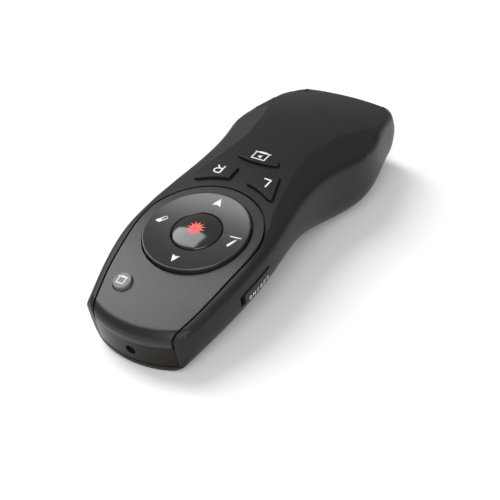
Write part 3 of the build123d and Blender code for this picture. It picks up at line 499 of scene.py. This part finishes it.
def moulded_grain() -> bpy.types.NodeTree:
    """The grain shared by every finish.

    Cloudy noise shifts the tone and the roughness a little over a few millimetres, and a fine
    noise lifts the surface as moulded grain does.

    Returns:
        The node group, made once.
    """
    cloud_scale, film_scale, grain_height = 140.0, 420.0, 0.00004
    if "moulded_grain" in bpy.data.node_groups:
        return bpy.data.node_groups["moulded_grain"]
    tree = bpy.data.node_groups.new("moulded_grain", "ShaderNodeTree")
    for way, kind, names in (
        ("INPUT", "NodeSocketVector", ("Place",)),
        ("INPUT", "NodeSocketColor", ("Tint",)),
        ("INPUT", "NodeSocketFloat", ("Tone spread", "Rough", "Rough spread", "Grain", "Depth")),
        ("OUTPUT", "NodeSocketColor", ("Color",)),
        ("OUTPUT", "NodeSocketFloat", ("Roughness",)),
        ("OUTPUT", "NodeSocketVector", ("Normal",)),
    ):
        for name in names:
            tree.interface.new_socket(name=name, in_out=way, socket_type=kind)
    nodes, links = tree.nodes, tree.links
    given = nodes.new("NodeGroupInput")
    out = nodes.new("NodeGroupOutput")

    def noise(scale: float | None, detail: float) -> bpy.types.Node:
        """A noise on the piece's own place.

        Args:
            scale: Its scale, or None for the group's grain.
            detail: How many finer layers it has.

        Returns:
            The noise node.
        """
        node = nodes.new("ShaderNodeTexNoise")
        node.inputs["Detail"].default_value = detail
        links.new(given.outputs["Place"], node.inputs["Vector"])
        if scale is None:
            links.new(given.outputs["Grain"], node.inputs["Scale"])
        else:
            node.inputs["Scale"].default_value = scale
        return node

    def maths(operation: str, *terms: bpy.types.NodeSocket | float) -> bpy.types.Node:
        """A step of arithmetic on sockets or plain numbers.

        Args:
            operation: Its name.
            terms: The terms in order.

        Returns:
            The maths node.
        """
        node = nodes.new("ShaderNodeMath")
        node.operation = operation
        for socket, term in zip(node.inputs, terms):
            if isinstance(term, float):
                socket.default_value = term
            else:
                links.new(term, socket)
        return node

    def spread(source: bpy.types.NodeSocket, amount: str, base: float) -> bpy.types.NodeSocket:
        """Centres a noise on nought, scales it by a group input and adds a base."""
        centre = maths("SUBTRACT", source, 0.5)
        return maths("MULTIPLY_ADD", centre.outputs[0], given.outputs[amount], base).outputs[0]

    cloud = noise(cloud_scale, 4.0)
    film = noise(film_scale, 3.0)
    fine = noise(None, 2.0)
    tone = spread(cloud.outputs["Fac"], "Tone spread", 1.0)
    tint = nodes.new("ShaderNodeVectorMath")
    tint.operation = "SCALE"
    links.new(given.outputs["Tint"], tint.inputs[0])
    links.new(tone, tint.inputs["Scale"])
    links.new(tint.outputs[0], out.inputs["Color"])
    rough = maths("ADD", given.outputs["Rough"], spread(film.outputs["Fac"], "Rough spread", 0.0))
    rough.use_clamp = True
    links.new(rough.outputs[0], out.inputs["Roughness"])
    bump = nodes.new("ShaderNodeBump")
    bump.inputs["Distance"].default_value = grain_height
    links.new(given.outputs["Depth"], bump.inputs["Strength"])
    links.new(fine.outputs["Fac"], bump.inputs["Height"])
    links.new(bump.outputs[0], out.inputs["Normal"])
    return tree


BLACK = (0.012, 0.012, 0.0124)
RING_BLACK = (0.016, 0.016, 0.0164)
BUTTON_BLACK = (0.018, 0.018, 0.0185)
SMOKE = (0.011, 0.0085, 0.0062)
SOFT = Finish("soft_touch_plastic", "soft_plastic", BLACK, 0.44, depth=0.35, specular=0.22)
PANEL = Finish("panel_satin", "panel_plastic", BLACK, 0.34, grain=1800.0, depth=1.0, specular=0.36)
KEY = Finish("key_satin", "key_plastic", (0.010, 0.010, 0.0104), 0.40, depth=0.2, specular=0.25)
TAB = Finish("tab_satin", "tab_plastic", (0.11, 0.11, 0.112), 0.45, depth=0.2)
RING = Finish("ring_gloss", "ring_plastic", RING_BLACK, 0.20, depth=0.05, tone_spread=0.03)
BUTTON = Finish("button_gloss", "button_plastic", BUTTON_BLACK, 0.12, depth=0.02, tone_spread=0.02)
WINDOW = Finish("smoked_window", "window_plastic", SMOKE, 0.14, depth=0.02, specular=0.12)
INNER = Finish("inner_moulding", "inner_plastic", (0.05, 0.05, 0.05), 0.55, depth=0.3)
BOARD = Finish("board_mask", "board_laminate", (0.02, 0.16, 0.07), 0.32, tone_spread=0.2, grain=900.0)
CHIP = Finish("chip_epoxy", "chip_epoxy", (0.02, 0.02, 0.022), 0.6, grain=5000.0, depth=0.4)
SCREW = Finish("screw_zinc", "screw_steel", (0.42, 0.42, 0.43), 0.35, metallic=1.0, tone_spread=0.15)
BRASS = Finish("turned_brass", "barrel_brass", (0.62, 0.46, 0.20), 0.28, metallic=1.0)
LENS = Finish("lens_acrylic", "lens_acrylic", (0.85, 0.87, 0.88), 0.05, transmission=0.9, depth=0.0)
CAN = Finish("cell_can", "can_steel", (0.60, 0.60, 0.60), 0.3, metallic=1.0, tone_spread=0.1)
SLEEVE = Finish("cell_sleeve", "sleeve_film", (0.22, 0.22, 0.24), 0.25, coat=0.5)
CONTACT = Finish("contact_nickel", "contact_nickel", (0.62, 0.60, 0.55), 0.22, metallic=1.0)
USB = Finish("usb_nickel", "usb_steel", (0.62, 0.62, 0.63), 0.24, metallic=1.0, tone_spread=0.1)
PRINT = Finish("printed_white", "key_plastic", (0.80, 0.80, 0.80), 0.45, depth=0.05)
STAR = Finish("printed_red", "button_plastic", (0.90, 0.16, 0.15), 0.5, depth=0.05, specular=0.1)

# The inner parts, which keep the engineering model's meshes, under the finish that each one gets.
INSIDE = {
    INNER: ("ring_gimbal", "button_guide", "switch_lever", "receiver_tongue"),
    BOARD: ("main_board",),
    CONTACT: (
        "switch_body", "dome_contacts", "board_crystal", "laser_leads", "front_contacts",
        "rear_contact_link",
    ),
    CHIP: ("control_chip", "radio_chip", "board_small_parts"),
    TAB: ("board_antenna",),
    CAN: ("board_capacitors", "laser_diode", "left_cell_can", "right_cell_can"),
    BRASS: ("laser_barrel",),
    LENS: ("laser_lens",),
    SLEEVE: ("left_cell_sleeve", "right_cell_sleeve"),
    RING: ("battery_springs",),
    USB: ("receiver_shell",),
    KEY: ("receiver_cap",),
    SCREW: ("shell_screws",),
}


@dataclass(frozen=True)
class CadBox:
    """The box of the engineering model, in metres, that the looks stay inside."""

    low: tuple[float, ...]
    high: tuple[float, ...]

    @classmethod
    def of(cls, corners: tuple) -> "CadBox":
        """The box between two corners."""
        return cls(*(tuple(float(v) for v in corner) for corner in corners))

    def hold(self, points: Array) -> Array:
        """Moves points that lie outside the box onto its sides."""
        return np.clip(points, self.low, self.high)

    def plain(self) -> list[list[float]]:
        """The two corners as plain lists of numbers."""
        return [list(self.low), list(self.high)]


def dress(piece: bpy.types.Object, finish: Finish) -> None:
    """Gives a piece one finish all over."""
    piece.data.materials.clear()
    piece.data.materials.append(finish.build())


def add(name: str, data: bpy.types.ID) -> bpy.types.Object:
    """Makes an object of a mesh, a light or a camera and puts it in the scene."""
    bpy.context.scene.collection.objects.link(bpy.data.objects.new(name, data))
    return bpy.data.objects[name]


def place_mesh(name: str, points: Array, faces: list, finish: Finish, body: Body) -> bpy.types.Object:
    """Makes a smooth piece from deck points and faces.

    Args:
        name: The piece's name.
        points: Deck points in millimetres, of shape (n, 3).
        faces: Index lists, turning anticlockwise seen from outside.
        finish: The piece's finish.
        body: The body that the piece rides on.

    Returns:
        The new object.
    """
    mesh = bpy.data.meshes.new(name)
    mesh.from_pydata(DeckFrame().to_world(points).tolist(), [], faces)
    mesh.shade_smooth()
    piece = add(name, mesh)
    dress(piece, finish)
    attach(piece, body.value)
    return piece


@dataclass
class Skin:
    """A moulded piece of the outer skin, smoothed onto the exact body form."""

    node: str
    finish: Finish
    body: Body
    box: CadBox
    proud: float = 0.0
    edge: float = 0.9
    reach: float = 1.1
    facing: float = 0.93
    crease: float = math.radians(32)
    weld: float = 2e-6
    rounds: int = 4
    inset: float = 0.15
    form: BodyForm = field(default_factory=BodyForm)

    def build(self, frame: dict) -> bpy.types.Object:
        """Copies the node's mesh, refines its skin, settles it and gives it the form's normals.


        Returns:
            The dressed piece, which stands for the node.
        """
        mesh = frame["nodes"][self.node].data.copy()
        mesh.name = f"{self.node}_skin"
        work = bmesh.new()
        work.from_mesh(mesh)
        bmesh.ops.remove_doubles(work, verts=work.verts, dist=self.weld)
        self.refine(work)
        for e in work.edges:
            e.smooth = e.calc_face_angle(math.pi) < self.crease
        work.to_mesh(mesh)
        work.free()
        piece = add(mesh.name, mesh)
        self.smooth(mesh)
        dress(piece, self.finish)
        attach(piece, self.body.value)
        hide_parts(self.node)
        return piece

    def refine(self, work: bmesh.types.BMesh) -> None:
        """Halves the long edges that lie on the skin, a few rounds over.

        Args:
            work: A mesh of triangles, changed in place.
        """
        for _ in range(self.rounds):
            points = self.form.frame.to_deck(np.array([v.co[:] for v in work.verts]))
            near = np.abs(self.form.level(points) - self.proud) < self.reach
            work.verts.index_update()
            long = [e for e in work.edges if near[e.verts[0].index] and near[e.verts[1].index]]
            long = [e for e in long if e.calc_length() > self.edge * MM]
            if not long:
                break
            bmesh.ops.subdivide_edges(work, edges=long, cuts=1)
            bmesh.ops.triangulate(work, faces=[f for f in work.faces if len(f.verts) > 3])
        work.normal_update()

    def smooth(self, mesh: bpy.types.Mesh) -> None:
        """Settles the outer corners onto the form and takes the shading normals from its slope.

        Each face's three normals are read just inside the face, so that a crease that runs along
        the edges stays crisp.

        Args:
            mesh: A mesh of triangles, changed in place.
        """
        form, turn = self.form, self.form.frame.turn()
        flat = np.empty(len(mesh.vertices) * 3)
        mesh.vertices.foreach_get("co", flat)
        points = form.frame.to_deck(flat.reshape(-1, 3))
        corners = np.empty(len(mesh.loops), np.int64)
        mesh.loops.foreach_get("vertex_index", corners)
        faces = corners.reshape(-1, 3)
        facing = np.empty(len(faces) * 3)
        mesh.polygons.foreach_get("normal", facing)
        facing = facing.reshape(-1, 3) @ turn
        near = np.abs(form.level(points) - self.proud) < self.reach
        skin = np.flatnonzero(near[faces].all(1))
        inner = points[faces[skin]].mean(1)
        skin = skin[(form.normals(inner) * facing[skin]).sum(-1) > self.facing]
        if self.proud == 0.0:
            outer = np.unique(faces[skin])
            points[outer] = form.settle(points[outer])
            mesh.vertices.foreach_set("co", self.box.hold(form.frame.to_world(points)).ravel())
            mesh.update()
        spots = points[faces[skin]]
        spots = (1 - self.inset) * spots + self.inset * spots.mean(1, keepdims=True)
        custom = np.zeros((len(faces), 3, 3))
        custom[skin] = form.normals(spots.reshape(-1, 3)).reshape(-1, 3, 3) @ turn.T
        mesh.normals_split_custom_set(custom.reshape(-1, 3).tolist())


@dataclass
class Lathe:
    """A round piece turned about the deck's upright through the ring's centre.

    The surface is a profile of (radius, height) carried round a circle.
    """

    name: str
    node: str
    profile: Path
    finish: Finish
    body: Body
    steps: int = 160
    weld: float = 1e-7
    crease: float = math.radians(35)

    def build(self) -> bpy.types.Object:
        """Turns the profile, closing it on itself or on the axis.

        Returns:
            The new piece.
        """
        profile = np.array(self.profile)
        angle = np.linspace(0, 2 * np.pi, self.steps, endpoint=False)
        radius, height = profile[:, 0], profile[:, 1]
        x = radius[None, :] * np.cos(angle)[:, None]
        y = radius[None, :] * np.sin(angle)[:, None]
        z = np.broadcast_to(height, x.shape)
        points = np.stack([x, y, z], -1).reshape(-1, 3)
        rows = len(profile)
        ring, step = np.meshgrid(np.arange(self.steps), np.arange(rows - 1), indexing="ij")
        a = ring * rows + step
        b = ((ring + 1) % self.steps) * rows + step
        faces = np.stack([a, a + 1, b + 1, b], -1).reshape(-1, 4)
        piece = place_mesh(self.name, points, faces.tolist(), self.finish, self.body)
        work = bmesh.new()
        work.from_mesh(piece.data)
        bmesh.ops.remove_doubles(work, verts=work.verts, dist=self.weld)
        bmesh.ops.recalc_face_normals(work, faces=work.faces)
        for e in work.edges:
            e.smooth = e.calc_face_angle(math.pi) < self.crease
        work.to_mesh(piece.data)
        work.free()
        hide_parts(self.node)
        return piece


def arc(centre: Spot, radius: float, start: float, end: float, count: int) -> Path:
    """Points along a circular arc between two angles in degrees."""
    angles = np.radians(np.linspace(start, end, count))
    return [(centre[0] + radius * math.cos(a), centre[1] + radius * math.sin(a)) for a in angles]


@dataclass
class RingAndButton:
    """The dished navigation ring and the domed laser button in its middle."""

    outer: float = 14.0
    bore: float = 6.75
    dish: float = 0.5
    dish_lean: float = 0.55
    edge: float = 0.3
    edge_start: float = 78.0
    bore_bevel: Spot = (0.15, 0.12)
    plate_low: float = -1.5
    flange: float = 15.0
    flange_top: float = -3.65
    flange_low: float = -4.35
    skirt: float = 12.6
    rib: Spot = (11.3, 10.1)
    rib_low: float = -4.5
    button: float = 6.45
    button_edge: float = -0.45
    button_rise: float = 1.15
    button_bevel: Path = field(default_factory=lambda: [(0.25, 0.0), (0.08, 0.12), (0.0, 0.3)])
    button_low: float = -3.9
    button_wall: float = 1.0
    stem: float = 1.2
    stem_low: float = -4.85
    rows: int = 24

    def ring_height(self, x: Array, y: Array) -> Array:
        """Height of the ring's face: a straight and a squared share of the way out, added up."""
        t = np.clip((np.hypot(x, y) - self.bore) / (self.outer - self.edge - self.bore), 0, 1)
        return -self.dish + self.dish * (self.dish_lean * t + (1 - self.dish_lean) * t * t)

    def button_height(self, x: Array, y: Array) -> Array:
        """Height of the button's face: a shallow dome, falling with the square of the radius."""
        return self.button_edge + self.button_rise * (1 - (np.hypot(x, y) / self.button) ** 2)

    def ring(self) -> bpy.types.Object:
        """Turns the ring: its dished plate, the rib below it and the skirt with its flange.

        Returns:
            The ring.
        """
        inset, drop = self.bore_bevel
        rib_out, rib_in = self.rib
        r = np.linspace(self.bore + inset, self.outer - self.edge, self.rows)
        profile = (
            [(self.bore, self.plate_low), (self.bore, -self.dish - drop)]
            + list(zip(r, self.ring_height(r, 0 * r)))
            + arc((self.outer - self.edge, -self.edge), self.edge, self.edge_start, 0, 5)
            + [(self.outer, self.flange_top), (self.flange, self.flange_top), (self.flange, self.flange_low)]
            + [(self.skirt, self.flange_low), (self.skirt, self.plate_low), (rib_out, self.plate_low)]
            + [(rib_out, self.rib_low), (rib_in, self.rib_low), (rib_in, self.plate_low)]
            + [(self.bore, self.plate_low)]
        )
        return Lathe("navigation_ring", "nav_ring", profile, RING, Body.RING).build()

    def cap(self) -> bpy.types.Object:
        """Turns the button: its dome, its wall and the stem that presses the switch.

        Returns:
            The button.
        """
        face = self.button - self.button_bevel[0][0]
        inner = self.button - self.button_wall
        r = np.linspace(0, face, self.rows)
        edge_z = float(self.button_height(face, 0))
        profile = (
            list(zip(r, self.button_height(r, 0 * r)))
            + [(self.button - inset, edge_z - drop) for inset, drop in self.button_bevel[1:]]
            + [(self.button, self.button_low), (inner, self.button_low), (inner, self.plate_low)]
            + [(self.stem, self.plate_low), (self.stem, self.stem_low), (0, self.stem_low)]
        )
        return Lathe("laser_button_cap", "laser_button", profile, BUTTON, Body.BUTTON).build()

    def build(self) -> Pieces:
        """The ring and the button."""
        return [self.ring(), self.cap()]


@dataclass
class Mark:
    """A printed mark: strokes and filled patches laid as thin ink on a surface.

    The strokes and patches are drawn flat; lay() carries flat places and a lift to deck points.
    """

    name: str
    body: Body
    lay: Lay
    finish: Finish = PRINT
    strokes: list[tuple[Path, float]] = field(default_factory=list)
    patches: list[Path] = field(default_factory=list)
    ink: float = 0.03
    root: float = 0.03

    def build(self) -> bpy.types.Object:
        """Lays each stroke as a ribbon with round ends and each patch as a fan.

        Returns:
            The mark as one piece of thin closed prisms.
        """
        points: list[Array] = []
        faces: list[list[int]] = []
        for path, width in self.strokes:
            for a, b in zip(path[:-1], path[1:]):
                self.prism(self.capsule(np.array(a), np.array(b), width / 2), points, faces)
        for patch in self.patches:
            self.prism(np.array(patch), points, faces)
        return place_mesh(self.name, np.concatenate(points), faces, self.finish, self.body)

    @staticmethod
    def capsule(a: Array, b: Array, radius: float, corners: int = 7) -> Array:
        """Outline of a stroke: two half circles about its ends.

        Args:
            a: First end.
            b: Second end.
            radius: Half the stroke's width.
            corners: Corners of each half circle.

        Returns:
            The outline's corners.
        """
        half = math.atan2(*(b - a)[::-1]) + np.linspace(-np.pi / 2, np.pi / 2, corners)
        ends = ((b, half), (a, half + np.pi))
        return np.concatenate([end + radius * np.stack([np.cos(t), np.sin(t)], -1) for end, t in ends])

    def prism(self, outline: Array, points: list[Array], faces: list[list[int]]) -> None:
        """Adds a thin prism over an outline, fanned from its middle, draped on the surface.

        Args:
            outline: Flat corners of shape (n, 2).
            points: The deck points so far, added to.
            faces: The faces so far, added to.
        """
        area = np.cross(outline, np.roll(outline, -1, 0)).sum()
        if area < 0:
            outline = outline[::-1]
        rim = np.concatenate([outline, outline.mean(0)[None]])
        base = sum(len(p) for p in points)
        n = len(outline)
        for lift in (self.ink, -self.root):
            points.append(self.lay(rim[:, 0], rim[:, 1], lift))
        low = base + n + 1
        for i in range(n):
            j = (i + 1) % n
            faces.append([base + i, base + j, base + n])
            faces.append([low + j, low + i, low + n])
            faces.append([base + j, base + i, low + i, low + j])


@dataclass
class Marks:
    """All printed marks: arrows, eraser, pen, screens, key letters, switch words and the star."""

    box: CadBox
    parts: RingAndButton = field(default_factory=RingAndButton)
    form: BodyForm = field(default_factory=BodyForm)
    letter_pen: float = 0.44
    bold_pen: float = 0.36
    line_pen: float = 0.3
    tab_pen: float = 0.26
    fine_pen: float = 0.2
    seam_pen: float = 0.16

    def on_ring(self, x: Array, y: Array, lift: float) -> Array:
        """Places on the ring's face."""
        return np.column_stack([x, y, self.parts.ring_height(x, y) + lift])

    def on_button(self, x: Array, y: Array, lift: float) -> Array:
        """Places on the button's dome."""
        return np.column_stack([x, y, self.parts.button_height(x, y) + lift])

    def on_key(self, x: Array, y: Array, lift: float) -> Array:
        """Places on the proud key tops, held inside the engineering model's box."""
        points = np.column_stack([x, y, self.form.top(x, y) + KEY_PROUD + lift])
        return self.form.frame.to_deck(self.box.hold(self.form.frame.to_world(points)))

    def on_knob(self, y: Array, z: Array, lift: float) -> Array:
        """Places on the power knob's face, found by stepping across the body.

        Args:
            y: Places along the body.
            z: Heights.
            lift: How far outside the face.

        Returns:
            Deck points on the face.
        """
        start, rounds, least_slope = 0.5, 4, 0.3
        points = np.column_stack([self.form.half_width(y) + start, y, z])
        for _ in range(rounds):
            slope = np.maximum(self.form.slope(points)[:, 0], least_slope)
            points[:, 0] -= (self.form.level(points) - KNOB_PROUD - lift) / slope
        return points

    @staticmethod
    def arrow(tip: Spot, notch: Spot, left: Spot, right: Spot) -> list[Path]:
        """The two halves of a barbed arrow head."""
        return [[tip, left, notch], [tip, notch, right]]

    @staticmethod
    def star(points: int = 12, outer: float = 2.62, inner: float = 1.3, spread: float = 0.26) -> list[Path]:
        """Narrow rays about a disc, as separate convex patches.

        Args:
            points: Number of rays.
            outer: Radius of the tips.
            inner: Radius of the feet.
            spread: Angle from a ray's middle to the side of its foot.

        Returns:
            One patch per ray.
        """
        rays = []
        for k in range(points):
            a = 2 * math.pi * k / points
            tip = (outer * math.cos(a), outer * math.sin(a))
            foot = [(inner * math.cos(a + s), inner * math.sin(a + s)) for s in (-spread, spread)]
            rays.append([foot[0], tip, foot[1], (0.0, 0.0)])
        return rays

    @staticmethod
    def screen(middle: Spot, half: Spot, pen: float) -> list:
        """Strokes of a screen pictogram: a rectangle hung from a wider bar with a thick middle.

        Args:
            middle: Middle of the rectangle.
            half: Half its width and half its height.
            pen: Width of the lines.

        Returns:
            Paths with their widths.
        """
        overhang, roll_rise, roll_half = 0.3, 0.1, 0.45 * half[0]
        bar_pen, roll_pen = 1.25 * pen, 2.2 * pen
        left, right, near, far = (middle[k] + side * half[k] for k in (0, 1) for side in (-1, 1))
        sheet = [(left, far), (left, near), (right, near), (right, far)]
        bar = [(left - overhang, far), (right + overhang, far)]
        roll = [(middle[0] + side * roll_half, far + roll_rise) for side in (-1, 1)]
        return [(sheet, pen), (bar, bar_pen), (roll, roll_pen)]

    @staticmethod
    def words(text: str, start: Spot, height: float, pitch: float, pen: float = 0.15) -> list:
        """Strokes of small capitals along a line.

        Args:
            text: Letters O, N and F, and a slanting stroke.
            start: Foot of the first letter.
            height: Height of the letters.
            pitch: Step from letter to letter.
            pen: Width of the lines.

        Returns:
            Paths with their widths.
        """
        round_o = [(0.0, 0.25), (0.0, 0.75), (0.2, 1.0), (0.5, 1.0), (0.7, 0.75), (0.7, 0.25), (0.5, 0.0)]
        shapes = {
            "O": [[*round_o, (0.2, 0.0), (0.0, 0.25)]],
            "N": [[(0.0, 0.0), (0.0, 1.0), (0.7, 0.0), (0.7, 1.0)]],
            "F": [[(0.0, 0.0), (0.0, 1.0), (0.65, 1.0)], [(0.0, 0.52), (0.5, 0.52)]],
            "/": [[(0.05, 0.0), (0.6, 1.0)]],
        }
        strokes = []
        for k, letter in enumerate(text):
            for path in shapes[letter]:
                spots = [(start[0] + k * pitch + u * height, start[1] + v * height) for u, v in path]
                strokes.append((spots, pen))
        return strokes

    def on_the_ring(self) -> Pieces:
        """Builds the arrows, the eraser and the pen on its line.

        Returns:
            The filled marks and the stroked ones.
        """
        up = self.arrow((-0.2, 12.5), (-0.2, 10.15), (-1.45, 9.75), (1.0, 9.75))
        down = self.arrow((0.05, -11.75), (0.05, -9.6), (1.15, -9.2), (-1.05, -9.2))
        rubber = [(-12.0, -0.7), (-11.8, -1.0), (-10.75, -1.1), (-10.1, -0.05), (-10.95, 0.5), (-11.2, 0.35)]
        sleeve = [(-10.95, 0.5), (-10.45, 1.3), (-10.1, 1.42), (-9.5, 1.1), (-9.55, 0.8), (-10.1, -0.05)]
        seam = [(-10.5, 0.75), (-9.85, 0.35)]
        barrel = [(9.75, -1.5), (10.4, -1.75), (11.42, 0.5), (10.8, 0.78)]
        tip = [(10.95, 0.85), (11.38, 0.65), (11.45, 1.15)]
        line = [(9.1, 1.68), (12.2, 1.76)]
        patches = [*up, *down, rubber, barrel, tip]
        strokes = [(sleeve, self.fine_pen), (seam, self.seam_pen), (line, self.line_pen)]
        return [
            Mark("ring_arrows", Body.RING, self.on_ring, patches=patches).build(),
            Mark("ring_strokes", Body.RING, self.on_ring, strokes=strokes).build(),
        ]

    def on_the_keys(self) -> Pieces:
        """Builds the letters L and R and the two screen pictograms.

        Returns:
            The four marks.
        """
        pen = self.letter_pen
        left = [([(6.25, 23.6), (8.1, 23.6), (8.0, 20.8)], pen)]
        bowl = [(-6.2, 20.9), (-7.3, 20.75), (-8.1, 21.1), (-8.3, 21.75), (-8.0, 22.4), (-7.3, 22.65)]
        stem, leg = [(-6.15, 23.75), (-6.2, 20.9)], [(-7.2, 22.6), (-8.1, 23.7)]
        right = [(stem, pen), ([*bowl, (-6.2, 22.65)], pen), (leg, pen)]
        play = [[(-0.75, 31.35), (0.5, 32.1), (0.5, 30.6)]]
        show = self.screen((0.0, 31.6), (1.95, 1.5), self.bold_pen)
        tab = self.screen((-8.68, -21.2), (1.0, 0.95), self.tab_pen)
        return [
            Mark("left_letter", Body.LEFT, self.on_key, strokes=left).build(),
            Mark("right_letter", Body.RIGHT, self.on_key, strokes=right).build(),
            Mark("screen_pictogram", Body.SCREEN, self.on_key, strokes=show, patches=play, ink=0.01).build(),
            Mark("tab_pictogram", Body.TAB, self.on_key, strokes=tab).build(),
        ]

    def build(self) -> Pieces:
        """Builds each mark on the piece that carries it.

        Returns:
            All the marks.
        """
        ring = self.on_the_ring()
        star = Mark("laser_star", Body.BUTTON, self.on_button, STAR, patches=self.star()).build()
        keys = self.on_the_keys()
        words = self.words("ON/OFF", (-8.4, -8.95), 1.0, 1.5)
        return [*ring, star, *keys, Mark("switch_words", Body.KNOB, self.on_knob, strokes=words).build()]


@dataclass
class Housing:
    """The outer shells, panel, window, door, keys and knob."""

    frame: dict
    box: CadBox
    proud_reach: float = 0.08

    def build(self) -> Pieces:
        """Builds every skin piece from its node.

        Returns:
            The skins.
        """
        flush = (
            ("top_shell", SOFT, Body.HOUSING),
            ("bottom_shell", SOFT, Body.HOUSING),
            ("control_panel", PANEL, Body.HOUSING),
            ("nose_window", WINDOW, Body.HOUSING),
            ("battery_door", SOFT, Body.DOOR),
        )
        proud = (
            ("left_key", KEY, Body.LEFT, KEY_PROUD),
            ("right_key", KEY, Body.RIGHT, KEY_PROUD),
            ("screen_key", KEY, Body.SCREEN, KEY_PROUD),
            ("tab_key", TAB, Body.TAB, KEY_PROUD),
            ("power_knob", KEY, Body.KNOB, KNOB_PROUD),
        )
        skins = [Skin(*row, box=self.box) for row in flush]
        for node, finish, body, lift in proud:
            skins.append(Skin(node, finish, body, self.box, lift, reach=self.proud_reach))
        return [skin.build(self.frame) for skin in skins]


@dataclass(frozen=True)
class Lamp:
    """One soft studio lamp, aimed at a point."""

    name: str
    place: tuple[float, float, float]
    size: tuple[float, float]
    power: float
    aim: tuple[float, float, float] = (0.0, 0.0, 0.015)

    def build(self) -> bpy.types.Object:
        """Makes the lamp and turns it to its aim.

        Returns:
            The lamp.
        """
        light = bpy.data.lights.new(self.name, "AREA")
        light.shape = "RECTANGLE"
        light.size, light.size_y = self.size
        light.energy = self.power
        lamp = add(self.name, light)
        lamp.location = self.place
        way = Vector(self.aim) - Vector(self.place)
        lamp.rotation_euler = way.to_track_quat("-Z", "Y").to_euler()
        return lamp


@dataclass
class Studio:
    """The pale floor, the lamps, the sky and the camera.

    Angles are in degrees, distance, shift and sensor in millimetres, the nearest view and the floor
    in metres, and the focal length is a multiple of the sensor's width.
    """

    turn: float = 39.149
    rise: float = 44.175
    roll: float = -11.5435
    distance: float = 303.372
    shift: Spot = (-13.486, 5.062)
    focal: float = 2.42052
    sensor: float = 36.0
    nearest: float = 0.01
    floor_half: float = 3.0
    paper: float = 0.9
    sky: float = 0.33
    frame: DeckFrame = field(default_factory=DeckFrame)

    def build(self) -> Pieces:
        """Builds the stage.

        Returns:
            The camera, the floor and the lamps.
        """
        world = bpy.data.worlds.new("studio_sky")
        world.use_nodes = True
        world.node_tree.nodes["Background"].inputs["Color"].default_value = (1, 1, 1, 1)
        world.node_tree.nodes["Background"].inputs["Strength"].default_value = self.sky
        bpy.context.scene.world = world
        bpy.context.scene.view_settings.view_transform = "Standard"
        return [
            self.camera(),
            self.floor(),
            Lamp("key_lamp", self.spot(-0.575, 0.27, 0.773, 1.0), (0.50, 0.90), 8.4).build(),
            Lamp("fill_lamp", self.spot(0.45, -0.56, 0.70, 1.2), (0.9, 0.9), 12.0).build(),
        ]

    def spot(self, x: float, y: float, z: float, reach: float) -> tuple[float, ...]:
        """A place in the world, a distance in metres from the ring along a deck direction."""
        way = np.array([x, y, z]) / math.hypot(x, y, z) * reach / MM
        return tuple(self.frame.to_world(way[None])[0].tolist())

    def floor(self) -> bpy.types.Object:
        """Lays a wide, plain, pale floor that is clear from below.

        Returns:
            The floor.
        """
        mesh = bpy.data.meshes.new("pale_floor")
        half = self.floor_half
        corners = [(-half, -half, 0), (half, -half, 0), (half, half, 0), (-half, half, 0)]
        mesh.from_pydata(corners, [], [[0, 1, 2, 3]])
        material = bpy.data.materials.new("floor_paper")
        material.use_nodes = True
        tree = material.node_tree
        shader = tree.nodes["Principled BSDF"]
        shader.inputs["Base Color"].default_value = (self.paper, self.paper, self.paper, 1)
        shader.inputs["Roughness"].default_value = 0.9
        side = tree.nodes.new("ShaderNodeNewGeometry")
        clear = tree.nodes.new("ShaderNodeBsdfTransparent")
        mix = tree.nodes.new("ShaderNodeMixShader")
        tree.links.new(side.outputs["Backfacing"], mix.inputs[0])
        tree.links.new(shader.outputs[0], mix.inputs[1])
        tree.links.new(clear.outputs[0], mix.inputs[2])
        tree.links.new(mix.outputs[0], tree.nodes["Material Output"].inputs["Surface"])
        mesh.materials.append(material)
        floor = add("pale_floor", mesh)
        floor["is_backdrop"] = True
        return floor

    def camera(self) -> bpy.types.Object:
        """Sets the camera from its turn and rise about the deck, its roll, distance and offset.

        Returns:
            The camera.
        """
        a, e, r = (math.radians(v) for v in (self.turn, self.rise, self.roll))
        back = np.array([math.sin(a) * math.cos(e), -math.cos(a) * math.cos(e), math.sin(e)])
        right = np.array([math.cos(a), math.sin(a), 0.0])
        axes = np.array([right, np.cross(back, right), back])
        c, s = math.cos(r), math.sin(r)
        axes = np.array([[c, s, 0], [-s, c, 0], [0, 0, 1]]) @ axes
        spot = axes.T @ np.array([-self.shift[0], -self.shift[1], self.distance])
        place = self.frame.to_world(spot[None])[0]
        turned = self.frame.turn() @ axes.T
        data = bpy.data.cameras.new("studio_camera")
        data.sensor_width = self.sensor
        data.lens = self.focal * self.sensor
        data.clip_start = self.nearest
        camera = add("studio_camera", data)
        matrix = Matrix(turned.tolist()).to_4x4()
        matrix.translation = Vector(place.tolist())
        camera.matrix_world = matrix
        bpy.context.scene.camera = camera
        return camera


def main() -> None:
    """Builds the stage and the clicker in order."""
    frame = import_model()
    cad_box = CadBox.of(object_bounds())
    for finish, nodes in INSIDE.items():
        for node in nodes:
            dress(frame["nodes"][node], finish)
            log.info("%s has the finish %s", node, finish.name)
    for assembly in (Studio(), Housing(frame, cad_box), RingAndButton(), Marks(cad_box)):
        for piece in assembly.build():
            log.info("%s built %s", type(assembly).__name__, piece.name)
    sizes = {"cad": cad_box.plain(), "scene": CadBox.of(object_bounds()).plain()}
    log.info("boxes %s", sizes)


if __name__ == "__main__":
    main()
